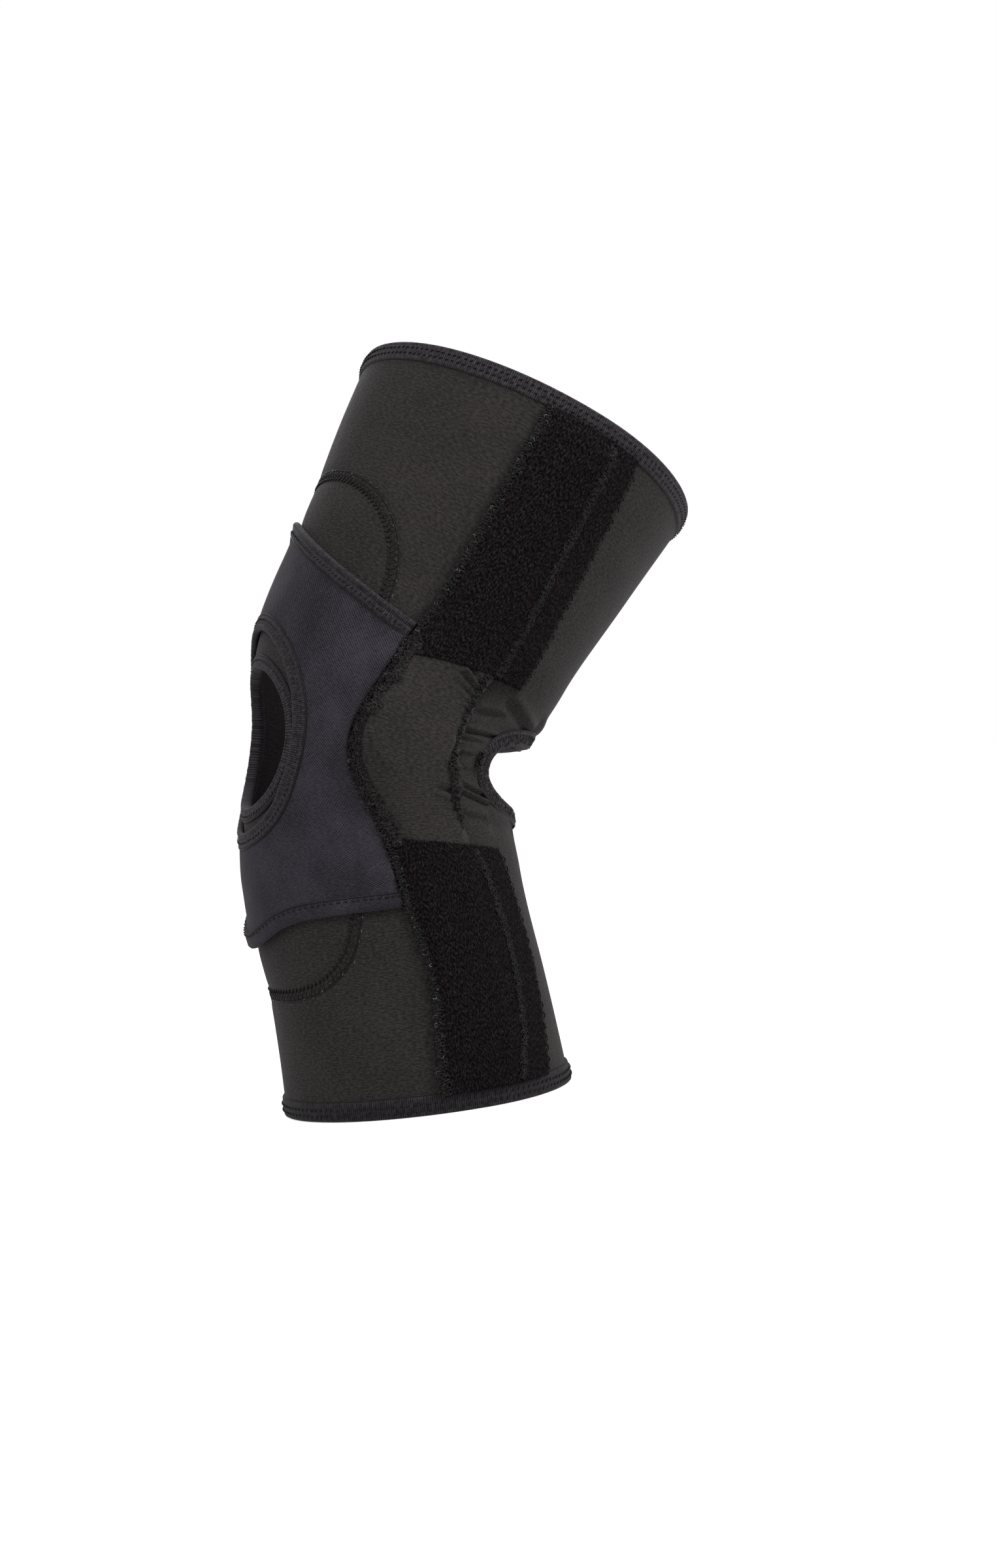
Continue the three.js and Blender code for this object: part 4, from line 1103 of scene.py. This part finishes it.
# ---- Overlocked edge band ----
BAND_FOOT = RIM_TAPE - 0.5
heights = np.linspace(BAND_FOOT, rim_height(EDGE_ANGLE, BAND_FOOT), 260)
band_phi = edge_angle(heights)
band = Path(heights, band_phi, 0.2)
base = [(-1, -0.5), (-0.93, 0.7), (-0.5, 1.5), (0, 1.8), (0.5, 1.8), (0.93, 1.2), (1, -0.5)]
base = [(BAND_HALF * 0.8 * x, y) for x, y in base]
KNEE_BAND_HALF = 3.7
knee = np.linspace(calf_head(72) - 3, thigh_foot(72) + 5, 90)
knee_path = Path(knee, edge_angle(knee) + 0.9, 0.6)
knee_base = [(-1, -1), (-0.9, 0.5), (-0.5, 1.3), (0.5, 1.5), (0.9, 1.1), (1, -1)]
knee_base = [(KNEE_BAND_HALF * 0.92 * x, y) for x, y in knee_base]
rows = [sweep(band, base, 1.0, 0.15), sweep(knee_path, knee_base, 1.0, 0.15)]
pieces("overlock_band", join(*rows), "dark_thread", nodes=["edge_band"])
upper = Path(heights, band_phi, 1.9)
knee_upper = Path(knee, edge_angle(knee) + 0.2, 2.0)
knee_rear = on_cover(knee, edge_angle(knee) + 3.4)
cover_edge = [(-2.2, -1.0), (-2.0, 0.25), (-1.0, 0.55), (1.0, 0.5), (1.9, 0.2), (2.1, -1.0)]
rows = [
    zigzag(upper, -1.9, 1.9, 1.05, 0.2, 0.1, 0.3),
    curls(knee_upper, KNEE_BAND_HALF * 0.75, 0.3, 0.2, 0.95, 0.8),
    curls(knee_rear, 2.1, 0.3, 0.2, 0.95, 0.9),
]
pieces("overlock_loops", join(*rows), "overlock")
rows = [
    curls(upper, BAND_HALF * 0.85, 0.35, 0.24, 0.9, 0.8),
    curls(knee_rear, 2.2, 0.45, 0.24, 0.9, 0.8),
    sweep(knee_rear, cover_edge, 0.8, 0.12),
]
pieces("overlock_dark_loops", join(*rows), "overlock_dark")
pieces("overlock_glints", curls(upper, BAND_HALF * 0.8, 5.0, 0.12, 0.6, 0.9), "glint_thread")

# ---- Bar tacks ----
middle, angle = POPLITEAL[0], 180 - POPLITEAL[3] - POPLITEAL_TAPE - 0.9
TACK_HALF = 4.6
heights = np.linspace(middle - TACK_HALF, middle + TACK_HALF, 24)
tack = Path(heights, np.full(24, angle), 0.2)
rows = [zigzag(tack, -1.7, 1.7, 0.5, 0.36, 1.2, 0.25), zigzag(tack, -1.2, 1.2, 0.6, 0.38, 1.8, 0.3)]
rows.append(curls(Path(heights, tack.phi, 1.6), 1.5, 0.5, 0.24, 0.8, 0.7))
pieces("bar_tack_threads", join(*rows), "dark_thread", nodes=["bar_tack"])

# ---- Hinge hardware, kept from CAD ----
HARDWARE = {
    "bar_steel": ("upper_arm", "lower_arm"),
    "plate_steel": ("inner_plate", "outer_plate"),
    "rivet_steel": ("pivot_rivet", "extension_stop", "flexion_stop"),
    "bush_nylon": ("pivot_bush",),
}
for material, nodes in HARDWARE.items():
    for part in [frame["nodes"][f"{side}_{node}"] for side in ("lateral", "medial") for node in nodes]:
        part.data.materials.clear()
        part.data.materials.append(M[material])

# ---- Camera, floor and light ----
AZIMUTH, ROLL = math.radians(70), math.radians(6.5)
CAMERA_AT = Vector((0.8173, -0.2397 + HINGE[1] * MM, 0.1317))
away = Vector((math.sin(AZIMUTH), -math.cos(AZIMUTH), 0))
right0 = Vector((math.cos(AZIMUTH), math.sin(AZIMUTH), 0))
right = right0 * math.cos(ROLL) - Vector((0, 0, 1)) * math.sin(ROLL)
up = Vector((0, 0, 1)) * math.cos(ROLL) + right0 * math.sin(ROLL)
camera_data = bpy.data.cameras.new("camera")
camera_data.lens, camera_data.sensor_width = 44.73, 36
camera_data.clip_start, camera_data.clip_end = 0.05, 50
camera = bpy.data.objects.new("camera", camera_data)
bpy.context.collection.objects.link(camera)
rotation = Matrix((right, up, away)).transposed().to_4x4()
camera.matrix_world = Matrix.Translation(CAMERA_AT) @ rotation
bpy.context.scene.camera = camera


def floor():
    """A plain pale floor, wide enough to reach the horizon from any side."""
    rings, spokes = (0.4, 1, 2.5, 6, 14), 48
    turns = [2 * math.pi * k / spokes for k in range(spokes)]
    verts = [(0, 0, 0)] + [(r * math.cos(t), r * math.sin(t), 0) for r in rings for t in turns]
    faces = [(0, 1 + k, 1 + (k + 1) % spokes) for k in range(spokes)]
    for a in range(1, (len(rings) - 1) * spokes, spokes):
        b = a + spokes
        faces += [(a + k, b + k, b + (k + 1) % spokes, a + (k + 1) % spokes) for k in range(spokes)]
    mesh = bpy.data.meshes.new("floor")
    mesh.from_pydata(verts, [], faces)
    n = Nodes("floor_paper")
    place = n.place()
    tone = n.ramp(n.noise(place, 3, 3), [(0.3, (0.34, 0.34, 0.34)), (0.7, (0.37, 0.37, 0.37))])
    glow = {"Emission_Color": (1, 1, 1, 1), "Emission_Strength": 0.68}
    bumps = [(n.noise(place, 400, 2), 0.05, 0.2)]
    mesh.materials.append(n.finish(tone, bumps, Roughness=0.9, Specular_IOR_Level=0.1, **glow))
    made = bpy.data.objects.new("floor", mesh)
    bpy.context.collection.objects.link(made)
    return made


floor()

world = bpy.data.worlds.new("studio")
bpy.context.scene.world = world
world.use_nodes = True
background = world.node_tree.nodes["Background"]
background.inputs["Color"].default_value = (1, 1, 1, 1)
background.inputs["Strength"].default_value = 1.0
bpy.context.scene.view_settings.view_transform = "Standard"


def soft_light(name, where, size, power):
    """A square soft light aimed at the knee."""
    data = bpy.data.lights.new(name, "AREA")
    data.size, data.energy = size, power
    light = bpy.data.objects.new(name, data)
    bpy.context.collection.objects.link(light)
    light.location = where
    aim = Vector((0, 0, 0.16)) - Vector(where)
    light.rotation_euler = aim.to_track_quat("-Z", "Y").to_euler()
    light.visible_camera = False


soft_light("key", (1.3, 1.2, 1.5), 1.0, 68)
soft_light("fill", (1.0, -1.5, 1.9), 1.2, 46)
soft_light("back", (-1.6, 0.3, 1.5), 1.4, 25)
